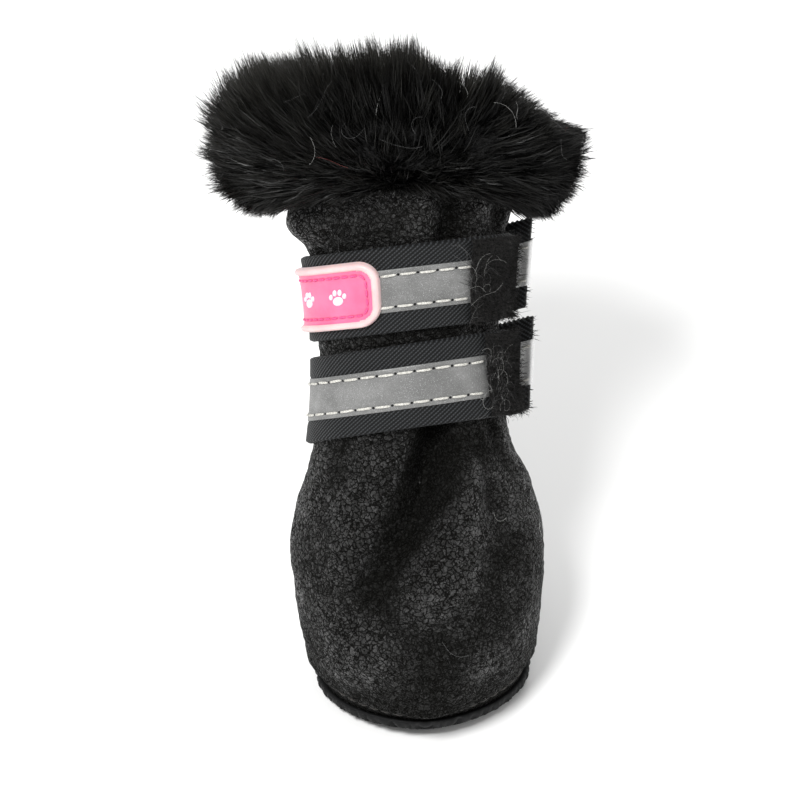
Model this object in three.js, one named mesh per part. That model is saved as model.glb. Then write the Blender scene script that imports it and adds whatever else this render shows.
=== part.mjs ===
// A dog's winter boot, empty and standing on its sole: a soft leather pouch that leans back over a
// teardrop rubber sole, held by two touch-close straps and finished with a deep fur collar.
// Millimetres, +Z up, toe towards -Y. The origin is under the sole, halfway along it.
import * as THREE from "three";

// ---- Driving dimensions -------------------------------------------------------------------------
const SOLE_LENGTH = 59;
const SOLE_WIDTH = 49.6;
const SOLE_THICKNESS = 2.8;
const TOE_SPRING = 2;
const TOE_CURL = 1.8;
const ANKLE_MIDDLE = new THREE.Vector2(12.5, 52); // y, z
const LEAN = THREE.MathUtils.degToRad(29); // of the shaft, backwards
const WALL = 2.6; // leather with its fleece
const INSOLE_THICKNESS = 3;
const GAP = 0.3; // between curved pieces that lie on each other
const STRAP_WIDTH = 20;
const STRAP_THICKNESS = 1.8;
const STRAP_SPACING = 23; // centre to centre
const TAB_LENGTH = 20.2;
const LOOP_THICKNESS = 1.2;
const HOOK_THICKNESS = 1;
const HOOK_FROM = 9.6; // along the tab, clear of the shaft
const BADGE_LENGTH = 39;
const BADGE_HEIGHT = 15.5;
const BADGE_THICKNESS = 1.7;
const BADGE_CORNER = 5;

// ---- Meshing ------------------------------------------------------------------------------------
const ROUND = 44; // points round the boot
const LEATHER_ROWS = 32;
const TURN = 2 * Math.PI;
const deg = THREE.MathUtils.degToRad;
const { clamp, lerp, smoothstep } = THREE.MathUtils;

const spread = (from, to, steps) => Array.from({ length: steps + 1 }, (_, i) => lerp(from, to, i / steps));

// Angles round the boot: 0 is the tab side (+X), a quarter turn the toe, a half turn the badge side.
// They start half a step on, so that no corner lies on the middle line.
const ANGLES = spread(TURN / ROUND / 2, TURN + TURN / ROUND / 2, ROUND);

// Triangles of a grid of points, given as rows.
function patch(rows, turned = false) {
  const corners = [];
  const add = (a, b, c) => {
    if (a.distanceTo(b) < 1e-6 || b.distanceTo(c) < 1e-6 || c.distanceTo(a) < 1e-6) return;
    corners.push(...(turned ? [a, c, b] : [a, b, c]));
  };
  for (let i = 0; i + 1 < rows.length; i++)
    for (let j = 0; j + 1 < rows[i].length; j++) {
      add(rows[i][j], rows[i][j + 1], rows[i + 1][j + 1]);
      add(rows[i][j], rows[i + 1][j + 1], rows[i + 1][j]);
    }
  return corners;
}

// A grid of points whose rows all run round the boot.
const ringRows = (values, at) => values.map((value) => closed(ANGLES.map((angle) => at(angle, value))));

function closed(row) {
  row[row.length - 1] = row[0];
  return row;
}

// A slab between two grids of the same shape, the second one lying on the first's outer side.
function slab(inner, outer) {
  const first = (grid) => grid.map((row) => row[0]);
  const last = (grid) => grid.map((row) => row[row.length - 1]);
  return [
    ...patch(outer),
    ...patch(inner, true),
    ...patch([inner[0], outer[0]]),
    ...patch([outer[outer.length - 1], inner[inner.length - 1]]),
    ...patch([first(outer), first(inner)]),
    ...patch([last(inner), last(outer)]),
  ];
}

function piece(name, material, triangles) {
  const geometry = new THREE.BufferGeometry().setFromPoints(triangles);
  geometry.computeVertexNormals();
  const mesh = new THREE.Mesh(geometry, material);
  mesh.name = name;
  return mesh;
}

// ---- Sole ---------------------------------------------------------------------------------------
// The outline is widest over the ball of the paw, with a round toe and a heel drawn in to a blunt point.
const BALL = -7;
const TOE = -SOLE_LENGTH / 2;
const HEEL = SOLE_LENGTH / 2;
const HEEL_TAPER = 1.62;
const TOE_TAPER = 1.2;
const TOE_TOP = 40; // station at which the toe's own taper has faded out
const SPRING_START = -14;
const CURL_START = 0.82; // share of the outline outside which the rubber curls up round the toe
const SEAM_SHARE = 0.965; // where the leather's outer face is sewn to it
const SEAM_INSIDE = 0.86; // and where its inner face stands
const INSOLE_SHARES = [0, 0.4, 0.8];
const SOLE_SHARES = [...INSOLE_SHARES, SEAM_INSIDE, 0.92, SEAM_SHARE, 1];

function outline(angle, share) {
  const across = Math.cos(angle);
  const forward = Math.sin(angle);
  const narrowing = forward > 0 ? TOE_TAPER : HEEL_TAPER;
  const reach = forward > 0 ? TOE - BALL : HEEL - BALL;
  const x = (SOLE_WIDTH / 2) * Math.sign(across) * Math.abs(across) ** narrowing;
  return new THREE.Vector2(share * x, BALL + share * reach * Math.abs(forward));
}

// Height of the sole's underside: flat from the heel to the ball, sprung at the toe and curled up round it.
function underside(y, share) {
  const run = SPRING_START - TOE;
  const radius = (run * run + TOE_SPRING * TOE_SPRING) / (2 * TOE_SPRING);
  const past = clamp(SPRING_START - y, 0, run);
  const spring = radius - Math.sqrt(radius * radius - past * past);
  return spring + TOE_CURL * smoothstep(share, CURL_START, 1) * smoothstep(-y, 0, -TOE);
}

function soleSurface(angle, share, height) {
  const { x, y } = outline(angle, share);
  return new THREE.Vector3(x, y, underside(y, share) + height);
}

function solePlate(shares, from, to) {
  const bottom = ringRows(shares, (angle, share) => soleSurface(angle, share, from));
  const top = ringRows(shares, (angle, share) => soleSurface(angle, share, to));
  const edge = [bottom[bottom.length - 1], top[top.length - 1]];
  return [...patch(bottom, true), ...patch(top), ...patch(edge, true)];
}

// ---- The last: the form that the leather is made over -------------------------------------------
// Each section runs round the boot through a point at the back and a point in front, on the middle plane.
// Stations are millimetres up the boot. Widest is how far forward the section is widest, and taper draws
// its back in to the heel.
const ANKLE = 66; // from here the stations run along the shaft
const SHAFT_TOP = ANKLE + 74;

const footSection = (name, station, back, front, halfWidth, widest, taper) => ({
  name,
  station,
  back: new THREE.Vector2(...back),
  front: new THREE.Vector2(...front),
  halfWidth,
  widest,
  taper,
});

// A section of the shaft, so far above the ankle, its front raised by a tilt.
function shaftSection(name, above, halfWidth, depth, tilt) {
  const middle = new THREE.Vector2(Math.sin(LEAN), Math.cos(LEAN)).multiplyScalar(above).add(ANKLE_MIDDLE);
  const forward = new THREE.Vector2(-Math.cos(deg(tilt)), Math.sin(deg(tilt))).multiplyScalar(depth / 2);
  const back = middle.clone().sub(forward);
  const front = middle.clone().add(forward);
  return { name, station: ANKLE + above, back, front, halfWidth, widest: 0.5, taper: 1 };
}

const SECTIONS = [
  //           name     station  back y, z     front y, z    half width  widest  taper
  footSection("tuck", 5, [31.6, 8], [-31, 10.6], 25.9, 0.6, 1.5),
  footSection("welt", 12, [32.4, 12.8], [-31.5, 17.6], 27.4, 0.58, 1.32),
  footSection("toe box", 21, [32, 18.4], [-28.4, 27.6], 28.4, 0.56, 1.2),
  footSection("vamp", 33, [30.4, 24.4], [-21, 39.2], 28.7, 0.54, 1.12),
  footSection("instep", 45, [28.6, 29.8], [-13, 48.2], 27.5, 0.52, 1.06),
  footSection("throat", 56, [26.8, 34.8], [-5.8, 56.5], 25.2, 0.51, 1.02),
  //            name          above  half width  depth  tilt
  shaftSection("ankle", 0, 22.9, 35, 46),
  shaftSection("lower strap", 12, 20.8, 33.6, 45),
  shaftSection("between straps", 25, 20.3, 32.8, 44),
  shaftSection("upper strap", 37, 20.3, 32.4, 43),
  shaftSection("over straps", 49, 22.2, 33.2, 42.5),
  shaftSection("flare", 60, 25, 34.6, 42),
  shaftSection("shaft top", 74, 25.6, 35.8, 41),
  shaftSection("crown", 98, 25.4, 36.2, 41),
];

const seamPoint = (angle, share) => soleSurface(angle, share, SOLE_THICKNESS + GAP);

function sectionPoint({ station, back, front, halfWidth, widest, taper }, angle) {
  const across = Math.cos(angle);
  const forward = Math.sin(angle);
  const share = forward > 0 ? widest + (1 - widest) * forward : widest * (1 + forward);
  const narrowing = forward > 0 ? lerp(TOE_TAPER, 1, smoothstep(station, 0, TOE_TOP)) : taper;
  const x = halfWidth * Math.sign(across) * Math.abs(across) ** narrowing;
  const middle = back.clone().lerp(front, share);
  return new THREE.Vector3(x, middle.x, middle.y);
}

const STATIONS = [0, ...SECTIONS.map((section) => section.station)];
const knot = (i, angle) => (i === 0 ? seamPoint(angle, SEAM_SHARE) : sectionPoint(SECTIONS[i - 1], angle));

// The smooth surface through every section, at an angle round the boot and a station up it.
function last(angle, station) {
  const end = STATIONS.length - 1;
  const at = STATIONS.findIndex((s, i) => i > 0 && (station <= s || i === end));
  const [a, b] = [at - 1, at];
  const [pa, pb] = [knot(a, angle), knot(b, angle)];
  const slope = (i, p) => {
    const before = i > 0 ? p.clone().sub(knot(i - 1, angle)).divideScalar(STATIONS[i] - STATIONS[i - 1]) : null;
    const after = i < end ? knot(i + 1, angle).sub(p).divideScalar(STATIONS[i + 1] - STATIONS[i]) : null;
    if (!before || !after) return before ?? after;
    const weight = (STATIONS[i] - STATIONS[i - 1]) / (STATIONS[i + 1] - STATIONS[i - 1]);
    return before.lerp(after, weight);
  };
  const span = STATIONS[b] - STATIONS[a];
  const t = (station - STATIONS[a]) / span;
  const point = new THREE.Vector3();
  point.addScaledVector(pa, 2 * t ** 3 - 3 * t ** 2 + 1);
  point.addScaledVector(slope(a, pa), span * (t ** 3 - 2 * t ** 2 + t));
  point.addScaledVector(pb, 3 * t ** 2 - 2 * t ** 3);
  return point.addScaledVector(slope(b, pb), span * (t ** 3 - t ** 2));
}

const along = (angle, station) =>
  last(angle + 0.01, station)
    .sub(last(angle - 0.01, station))
    .normalize(); // towards the next angle

function outward(angle, station) {
  const up = last(angle, station + 0.5).sub(last(angle, Math.max(0, station - 0.5)));
  const normal = along(angle, station).cross(up).negate();
  // At the sole seam the wall stands on the sole, so its thickness is measured level.
  normal.z *= smoothstep(station, 0, 6);
  return normal.normalize();
}

// A point that far outside the last, or inside it where the distance is negative.
const skin = (angle, station, distance) =>
  last(angle, station).addScaledVector(outward(angle, station), distance);

// ---- Straps -------------------------------------------------------------------------------------
const STRAP_LEAVES = deg(-68); // where the tab leaves the shaft, at the back
const STRAP_ENDS = deg(-10); // the long end, round by the tab side
const TAB_SPREAD = 0.002; // away from the shaft's line, times the square of the way along
const TAB_TWIST = 0.003; // and its upper edge that much more than its middle
const TAB_CLIMB = 0.17; // up the shaft, for each millimetre along
const TAB_SQUARE = 8; // millimetres in which the tab's slanted edges come square to its run
const TAB_RAKE = 1.5; // its upper corner is this much further along than its middle

// Stations of a strap's lower edge, middle or upper edge: side is -1, 0 or 1.
function strapStation(strap, angle, side) {
  const climb = strap.rise * last(angle, strap.middle).x;
  return strap.middle + climb + (side * STRAP_WIDTH) / 2;
}

// A strap's surface at a distance off the shaft, at an angle round it.
const wrapPoint = (strap, angle, side, distance) =>
  skin(angle, strapStation(strap, angle, side), GAP + distance);

// The same on the free tab, so many millimetres along it from where it leaves the shaft.
function tabPoint(strap, reach, side, distance) {
  const foot = last(STRAP_LEAVES, strapStation(strap, STRAP_LEAVES, side));
  const middle = last(STRAP_LEAVES, strapStation(strap, STRAP_LEAVES, 0));
  const run = along(STRAP_LEAVES, strap.middle);
  const out = outward(STRAP_LEAVES, strap.middle);
  const up = last(STRAP_LEAVES, strapStation(strap, STRAP_LEAVES, 1)).sub(middle).normalize();
  const slant = foot.clone().sub(middle).dot(run);
  const straight = reach + (side * TAB_RAKE - slant) * smoothstep(reach, 0, TAB_SQUARE);
  const bend = reach * reach * (TAB_SPREAD + side * TAB_TWIST);
  foot.addScaledVector(run, straight).addScaledVector(up, TAB_CLIMB * reach);
  return foot.addScaledVector(out, GAP + distance + bend);
}

// One strap: the free tab, then back, badge side, front and the long end.
function strapSolid(strap) {
  const reaches = spread(TAB_LENGTH, 2, 9);
  const angles = spread(STRAP_LEAVES + TURN, STRAP_ENDS, 52);
  const grid = (distance) =>
    spread(-1, 1, 4).map((side) => [
      ...reaches.map((reach) => tabPoint(strap, reach, side, distance)),
      ...angles.map((angle) => wrapPoint(strap, angle, side, distance)),
    ]);
  return slab(grid(0), grid(STRAP_THICKNESS));
}

// The loop pad on the outer face of the long end.
function loopSolid(strap) {
  const angles = spread(strap.loopFrom, STRAP_ENDS + deg(2), 8);
  const grid = (distance) =>
    [-0.97, 0.97].map((side) => angles.map((angle) => wrapPoint(strap, angle, side, distance)));
  const foot = STRAP_THICKNESS + GAP;
  return slab(grid(foot), grid(foot + LOOP_THICKNESS));
}

// The hook pad on the inner face of the free tab.
function hookSolid(strap) {
  const reaches = spread(TAB_LENGTH - 1.5, HOOK_FROM, 5);
  const grid = (distance) =>
    [-0.9, 0, 0.9].map((side) => reaches.map((reach) => tabPoint(strap, reach, side, distance)));
  return slab(grid(-GAP - HOOK_THICKNESS), grid(-GAP));
}

// Each strap's middle, its climb for each millimetre towards the tab side, and where its loop pad starts.
const LOWER = { middle: ANKLE + 14.8, rise: 0.11, loopFrom: deg(42) };
const UPPER = { middle: LOWER.middle + STRAP_SPACING, rise: 0.085, loopFrom: deg(52) };

// ---- Badge --------------------------------------------------------------------------------------
// A moulded patch round the shaft's side, with round corners. Its columns run up the strap.
const BADGE_FRONT = deg(105);
const BADGE_COLUMNS = 22;
const ANGLE_STEP = deg(1);

function badgeColumns(strap, off) {
  const columns = [];
  let angle = BADGE_FRONT;
  let travelled = 0;
  for (const distance of spread(0, BADGE_LENGTH, BADGE_COLUMNS)) {
    while (travelled < distance) {
      const next = wrapPoint(strap, angle + ANGLE_STEP, 0, off);
      travelled += next.distanceTo(wrapPoint(strap, angle, 0, off));
      angle += ANGLE_STEP;
    }
    const fromEnd = Math.min(distance, BADGE_LENGTH - distance, BADGE_CORNER);
    const cut = BADGE_CORNER - Math.sqrt(BADGE_CORNER ** 2 - (BADGE_CORNER - fromEnd) ** 2);
    columns.push({ angle, half: BADGE_HEIGHT / 2 - cut });
  }
  return columns;
}

function badgeSolid(strap) {
  const off = STRAP_THICKNESS + GAP;
  const columns = badgeColumns(strap, off);
  const grid = (distance) =>
    spread(1, -1, 4).map((share) =>
      columns.map(({ angle, half }) => wrapPoint(strap, angle, (share * half * 2) / STRAP_WIDTH, distance)),
    );
  return slab(grid(off), grid(off + BADGE_THICKNESS));
}

// ---- Fur collar ---------------------------------------------------------------------------------
// Its section, from where it is sewn to the shaft round outside, over the top and down inside: out is
// measured from the leather's outer face, rise from the shaft's top edge.
const FUR_SECTION = [
  { out: GAP, rise: -13 },
  { out: 5, rise: -16.5 },
  { out: 10.5, rise: -15 },
  { out: 14, rise: -7.5 },
  { out: 15.2, rise: 0 },
  { out: 13.5, rise: 6.5 },
  { out: 9, rise: 11.5 },
  { out: 3, rise: 13.5 },
  { out: -2, rise: 12.5 },
  { out: -4.5, rise: 8 },
  { out: -4, rise: 3 },
  { out: -WALL, rise: GAP },
  { out: GAP, rise: GAP },
  { out: GAP, rise: -6.5 },
];
const FUR_PARTINGS = [
  { at: deg(62), depth: 0.22, width: 0.28 },
  { at: deg(294), depth: 0.3, width: 0.3 },
];
const TAB_SIDE = deg(-2); // between the partings on that side the pile is flattened
const FLATTENED = 0.75;
const FLAT_WIDTH = deg(64);
const SIDE_HANG = 0.12; // how much lower the pile hangs at the sides
const TAB_DROP = 3.7; // how far all of it lies lower on the tab side

// How much of the fur's height is left at an angle: it falls away beside each parting and on the tab side.
function furHeight(angle) {
  const away = (at) => Math.abs(((angle - at + 3 * Math.PI) % TURN) - Math.PI);
  const flat = FLATTENED * (1 - smoothstep(away(TAB_SIDE), 0, FLAT_WIDTH));
  return FUR_PARTINGS.reduce(
    (left, { at, depth, width }) => left * (1 - depth * (1 - smoothstep(away(at), 0, width))),
    1 - flat,
  );
}

function furPoint(angle, { out, rise }) {
  const depth = out > GAP ? 1 - 0.14 * Math.sin(angle) ** 2 : 1;
  const hang = out > GAP ? 1 + SIDE_HANG * Math.cos(angle) ** 2 : 1;
  const drop = TAB_DROP * Math.max(0, Math.cos(angle)) ** 2 * smoothstep(out, GAP, 5);
  const height = rise * (rise > GAP ? furHeight(angle) : hang) - drop;
  return skin(angle, SHAFT_TOP + height, out > GAP ? out * depth : out);
}

function furSolid() {
  const section = [...FUR_SECTION, FUR_SECTION[0]];
  return patch(ringRows(section, furPoint), true);
}

// ---- Leather upper ------------------------------------------------------------------------------
function upperSolid() {
  const stations = spread(0, SHAFT_TOP, LEATHER_ROWS);
  const outside = ringRows(stations, (angle, station) => skin(angle, station, 0));
  const inside = ringRows(stations, (angle, station) =>
    station === 0 ? seamPoint(angle, SEAM_INSIDE) : skin(angle, station, -WALL),
  );
  return [
    ...patch(outside, true),
    ...patch(inside),
    ...patch([outside[0], inside[0]]),
    ...patch([outside[LEATHER_ROWS], inside[LEATHER_ROWS]], true),
  ];
}

// ---- Materials ----------------------------------------------------------------------------------
const finish = (color, roughness) => new THREE.MeshStandardMaterial({ color, roughness, metalness: 0 });
const leather = finish(0x2b2a29, 0.55);
const rubber = finish(0x232426, 0.6);
const fleece = finish(0x161616, 0.95);
const fur = finish(0x0d0d0d, 0.8);
const webbing = finish(0x1c1e21, 0.7);
const loopPile = finish(0x131313, 0.95);
const hookTape = finish(0x101312, 0.8);
const softPlastic = finish(0xf0559b, 0.45);

// ---- Assembly -----------------------------------------------------------------------------------
const boot = new THREE.Group();
boot.add(
  piece("outsole", rubber, solePlate(SOLE_SHARES, 0, SOLE_THICKNESS)),
  piece(
    "insole",
    fleece,
    solePlate(INSOLE_SHARES, SOLE_THICKNESS + GAP, SOLE_THICKNESS + GAP + INSOLE_THICKNESS),
  ),
  piece("upper", leather, upperSolid()),
  piece("fur_collar", fur, furSolid()),
  piece("strap_lower", webbing, strapSolid(LOWER)),
  piece("strap_upper", webbing, strapSolid(UPPER)),
  piece("loop_pad_lower", loopPile, loopSolid(LOWER)),
  piece("loop_pad_upper", loopPile, loopSolid(UPPER)),
  piece("hook_pad_lower", hookTape, hookSolid(LOWER)),
  piece("hook_pad_upper", hookTape, hookSolid(UPPER)),
  piece("badge", softPlastic, badgeSolid(UPPER)),
);

export default boot;
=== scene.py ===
"""Looks of the dog's winter boot: crackled leather, a deep fur collar, two bound straps with reflective
tape, a moulded badge and a basket-weave rubber sole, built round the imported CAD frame.

Shapes are worked out in millimetres with the part's own functions, +Z up and the toe towards -Y, and
become metres where a mesh is made. Station, angle, side and distance mean what they mean in the part:
millimetres up the boot, the turn round it (0 at the tab side, a quarter turn at the toe), -1 to 1 across
a strap, and millimetres off the leather. Reach is millimetres along a strap from the place where its free
tab leaves the shaft, below 0 on the tab.
"""

import itertools
import math

import bpy
import numpy as np
from mathutils import Matrix, Vector


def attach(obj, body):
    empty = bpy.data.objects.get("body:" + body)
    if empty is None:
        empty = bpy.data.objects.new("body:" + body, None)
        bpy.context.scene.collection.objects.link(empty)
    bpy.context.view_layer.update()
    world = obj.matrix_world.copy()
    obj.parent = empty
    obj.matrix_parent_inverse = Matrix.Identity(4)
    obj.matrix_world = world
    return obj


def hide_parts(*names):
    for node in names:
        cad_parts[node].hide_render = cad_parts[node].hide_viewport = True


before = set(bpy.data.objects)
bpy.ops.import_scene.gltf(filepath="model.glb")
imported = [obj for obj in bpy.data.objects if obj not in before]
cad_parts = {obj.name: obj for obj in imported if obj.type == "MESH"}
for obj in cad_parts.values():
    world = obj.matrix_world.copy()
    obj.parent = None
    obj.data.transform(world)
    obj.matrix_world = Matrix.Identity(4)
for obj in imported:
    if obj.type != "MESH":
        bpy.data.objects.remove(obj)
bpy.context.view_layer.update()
MM = 0.001
TURN = 2 * math.pi


# ---- The boot's form, as in the part ------------------------------------------------------------
SOLE_LENGTH, SOLE_WIDTH, SOLE_THICKNESS = 59.0, 49.6, 2.8
TOE_SPRING, TOE_CURL = 2.0, 1.8
ANKLE_MIDDLE = np.array([12.5, 52.0])
LEAN = math.radians(29)
WALL, GAP = 2.6, 0.3
STRAP_WIDTH, STRAP_THICKNESS = 20.0, 1.8
TAB_LENGTH = 20.2
LOOP_THICKNESS, HOOK_THICKNESS, HOOK_FROM = 1.2, 1.0, 9.6
BADGE_LENGTH, BADGE_HEIGHT, BADGE_THICKNESS, BADGE_CORNER = 39.0, 15.5, 1.7, 5.0
BALL, TOE, HEEL = -7.0, -SOLE_LENGTH / 2, SOLE_LENGTH / 2
HEEL_TAPER, TOE_TAPER, TOE_TOP = 1.62, 1.2, 40.0
SPRING_START, CURL_START = -14.0, 0.82
SEAM_SHARE = 0.965
ANKLE = 66.0
SHAFT_TOP = ANKLE + 74
LOWER_MIDDLE, STRAP_SPACING = ANKLE + 14.8, 23.0


def ease(value, low, high):
    """A smooth step from 0 at low to 1 at high."""
    t = np.clip((value - low) / (high - low), 0, 1)
    return t * t * (3 - 2 * t)


def bell(value, width):
    """1 at 0 and falling away on both sides, to about a third at the width."""
    return np.exp(-((value / width) ** 2))


def arch(t, power=2):
    """How far a share from 0 to 1 lies from its middle, 0 there and 1 at both ends."""
    return np.abs(2 * t - 1) ** power


def unit(vectors):
    return vectors / np.linalg.norm(vectors, axis=-1, keepdims=True)


def arrays(*values):
    """The values as arrays of one shape."""
    return np.broadcast_arrays(*(np.asarray(value, float) for value in values))


def lengths_along(points):
    """How far along a line of points each one lies."""
    steps = np.linalg.norm(np.diff(points, axis=0), axis=-1)
    return np.concatenate([[0], np.cumsum(steps)])


def outline(angle, share):
    across, forward = np.cos(angle), np.sin(angle)
    narrowing = np.where(forward > 0, TOE_TAPER, HEEL_TAPER)
    reach = np.where(forward > 0, TOE - BALL, HEEL - BALL)
    x = SOLE_WIDTH / 2 * np.sign(across) * np.abs(across) ** narrowing
    return share * x, BALL + share * reach * np.abs(forward)


def underside(y, share):
    run = SPRING_START - TOE
    radius = (run * run + TOE_SPRING**2) / (2 * TOE_SPRING)
    past = np.clip(SPRING_START - y, 0, run)
    spring = radius - np.sqrt(radius**2 - past**2)
    return spring + TOE_CURL * ease(share, CURL_START, 1) * ease(-y, 0, -TOE)


def sole_surface(angle, share, height):
    x, y = outline(angle, share)
    return np.stack([x, y, underside(y, share) + height], -1)


def shaft_section(above, half_width, depth, tilt):
    middle = ANKLE_MIDDLE + above * np.array([math.sin(LEAN), math.cos(LEAN)])
    slope = math.radians(tilt)
    forward = np.array([-math.cos(slope), math.sin(slope)]) * depth / 2
    return ANKLE + above, middle - forward, middle + forward, half_width, 0.5, 1.0


# station, back y and z, front y and z, half width, where it is widest, taper of the back
SECTIONS = [
    (5, (31.6, 8), (-31, 10.6), 25.9, 0.6, 1.5),
    (12, (32.4, 12.8), (-31.5, 17.6), 27.4, 0.58, 1.32),
    (21, (32, 18.4), (-28.4, 27.6), 28.4, 0.56, 1.2),
    (33, (30.4, 24.4), (-21, 39.2), 28.7, 0.54, 1.12),
    (45, (28.6, 29.8), (-13, 48.2), 27.5, 0.52, 1.06),
    (56, (26.8, 34.8), (-5.8, 56.5), 25.2, 0.51, 1.02),
    shaft_section(0, 22.9, 35, 46),
    shaft_section(12, 20.8, 33.6, 45),
    shaft_section(25, 20.3, 32.8, 44),
    shaft_section(37, 20.3, 32.4, 43),
    shaft_section(49, 22.2, 33.2, 42.5),
    shaft_section(60, 25, 34.6, 42),
    shaft_section(74, 25.6, 35.8, 41),
    shaft_section(98, 25.4, 36.2, 41),
]
STATIONS = np.array([0.0] + [section[0] for section in SECTIONS])
SPANS = np.diff(STATIONS)


def knots(angle):
    """The last's points at every section, one row each."""
    across, forward = np.cos(angle), np.sin(angle)
    rows = [sole_surface(angle, SEAM_SHARE, SOLE_THICKNESS + GAP)]
    for station, back, front, half_width, widest, taper in SECTIONS:
        share = np.where(forward > 0, widest + (1 - widest) * forward, widest * (1 + forward))
        toe_taper = TOE_TAPER + (1 - TOE_TAPER) * ease(station, 0, TOE_TOP)
        x = half_width * np.sign(across) * np.abs(across) ** np.where(forward > 0, toe_taper, taper)
        y, z = (back[k] + (front[k] - back[k]) * share for k in (0, 1))
        rows.append(np.stack([x, y, z], -1))
    return np.array(rows)


def last(angle, station):
    """The smooth surface through every section."""
    angle, station = arrays(angle, station)
    points = knots(angle)
    column = (-1,) + (1,) * (points.ndim - 1)
    steps = np.diff(points, axis=0) / SPANS.reshape(column)
    weight = (SPANS[:-1] / (SPANS[:-1] + SPANS[1:])).reshape(column)
    slopes = np.concatenate([steps[:1], steps[:-1] + (steps[1:] - steps[:-1]) * weight, steps[-1:]])
    at = np.clip(np.searchsorted(STATIONS, station), 1, len(SPANS))
    span = SPANS[at - 1][..., None]
    t = (station - STATIONS[at - 1])[..., None] / span

    def pick(rows, index):
        return np.take_along_axis(rows, index[None, ..., None], 0)[0]

    return (
        pick(points, at - 1) * (2 * t**3 - 3 * t**2 + 1)
        + pick(slopes, at - 1) * span * (t**3 - 2 * t**2 + t)
        + pick(points, at) * (3 * t**2 - 2 * t**3)
        + pick(slopes, at) * span * (t**3 - t**2)
    )


def along(angle, station):
    return unit(last(angle + 0.01, station) - last(angle - 0.01, station))


def outward(angle, station):
    up = last(angle, station + 0.5) - last(angle, np.maximum(0, station - 0.5))
    normal = -np.cross(along(angle, station), up)
    normal[..., 2] *= ease(station, 0, 6)
    return unit(normal)


def skin(angle, station, distance):
    """A point that far outside the last."""
    angle, station, distance = arrays(angle, station, distance)
    return last(angle, station) + outward(angle, station) * distance[..., None]


def lumps(points, size, seed):
    """Smooth noise between -1 and 1 whose lumps are about that many millimetres across."""
    cells = 24
    grid = np.random.default_rng(seed).uniform(-1, 1, (cells, cells, cells))
    place = points / size
    low = np.floor(place).astype(int)
    part = place - low
    part = part * part * (3 - 2 * part)
    total = 0
    for corner in itertools.product((0, 1), repeat=3):
        x, y, z = np.moveaxis((low + corner) % cells, -1, 0)
        total = total + grid[x, y, z] * np.prod(np.where(corner, part, 1 - part), -1)
    return total


# ---- Meshes -------------------------------------------------------------------------------------
BAKE_MAP = "OFBake"
# The kept number: gloss, with rubbing on the leather, together with painted light and shade.
GLOSS_AND_PAINTED_LIGHT = "gloss_and_painted_light"
STRAND_ROOM = 0.98  # of the map's width is shared out between the strands of a piece
STRAND_WIDTH = 0.01  # and each strand takes this much of it
TWIST_STEP = 2.2  # radians that a thread's ply turns from ring to ring
HAIR_TAPER = 2.2  # the power by which a hair thins towards its tip


def link(name, data):
    made = bpy.data.objects.new(name, data)
    bpy.context.scene.collection.objects.link(made)
    return made


def mesh_piece(name, points, faces, uv, materials, replaces=(), face_materials=None):
    """A piece of these points (mm) and faces, a list of index arrays. uv has one row per face corner."""
    loops = np.concatenate([f.ravel() for f in faces])
    sizes = np.concatenate([np.full(len(f), f.shape[1]) for f in faces])
    mesh = bpy.data.meshes.new(name)
    mesh.vertices.add(len(points))
    mesh.vertices.foreach_set("co", (points * MM).astype(np.float32).ravel())
    mesh.loops.add(len(loops))
    mesh.loops.foreach_set("vertex_index", loops.astype(np.int32))
    mesh.polygons.add(len(sizes))
    mesh.polygons.foreach_set("loop_start", (np.cumsum(sizes) - sizes).astype(np.int32))
    mesh.polygons.foreach_set("use_smooth", np.ones(len(sizes), bool))
    if face_materials is not None:
        mesh.polygons.foreach_set("material_index", face_materials.astype(np.int32))
    layer = mesh.uv_layers.new(name=BAKE_MAP)
    layer.uv.foreach_set("vector", uv.astype(np.float32).ravel())
    mesh.update(calc_edges=True)
    for material in materials:
        mesh.materials.append(material)
    piece = link(name, mesh)
    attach(piece, "root")
    if replaces:
        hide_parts(*replaces)
    return piece


def keep_gloss_and_painted_light(piece, values):
    """Keeps a number at each of the piece's points for its material: how rubbed and glossy it is, together
    with painted light and shade.
    """
    kept = piece.data.attributes.new(GLOSS_AND_PAINTED_LIGHT, "FLOAT", "POINT")
    kept.data.foreach_set("value", values.astype(np.float32).ravel())


def grid_faces(rows, columns, closed=False, turned=False):
    """Quads of a grid, and the grid place (row, column) of each of their corners."""
    i, j = np.meshgrid(np.arange(rows - 1), np.arange(columns if closed else columns - 1), indexing="ij")
    corners = [(i, j), (i, j + 1), (i + 1, j + 1), (i + 1, j)]
    if turned:
        corners.reverse()
    row = np.stack([c[0].ravel() for c in corners], -1)
    column = np.stack([c[1].ravel() for c in corners], -1)
    return row * columns + column % columns, row, column


def grid_piece(name, points, materials, closed=False, turned=False, replaces=(), picks=None):
    """A sheet through a grid of points. picks chooses each face's material from its (row, column)."""
    rows, columns = points.shape[:2]
    faces, row, column = grid_faces(rows, columns, closed, turned)
    uv = np.stack([column / (columns if closed else columns - 1), row / (rows - 1)], -1)
    chosen = None if picks is None else picks[row.min(1), column.min(1)]
    flat = points.reshape(-1, 3)
    return mesh_piece(name, flat, [faces], uv.reshape(-1, 2), materials, replaces, chosen)


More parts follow.
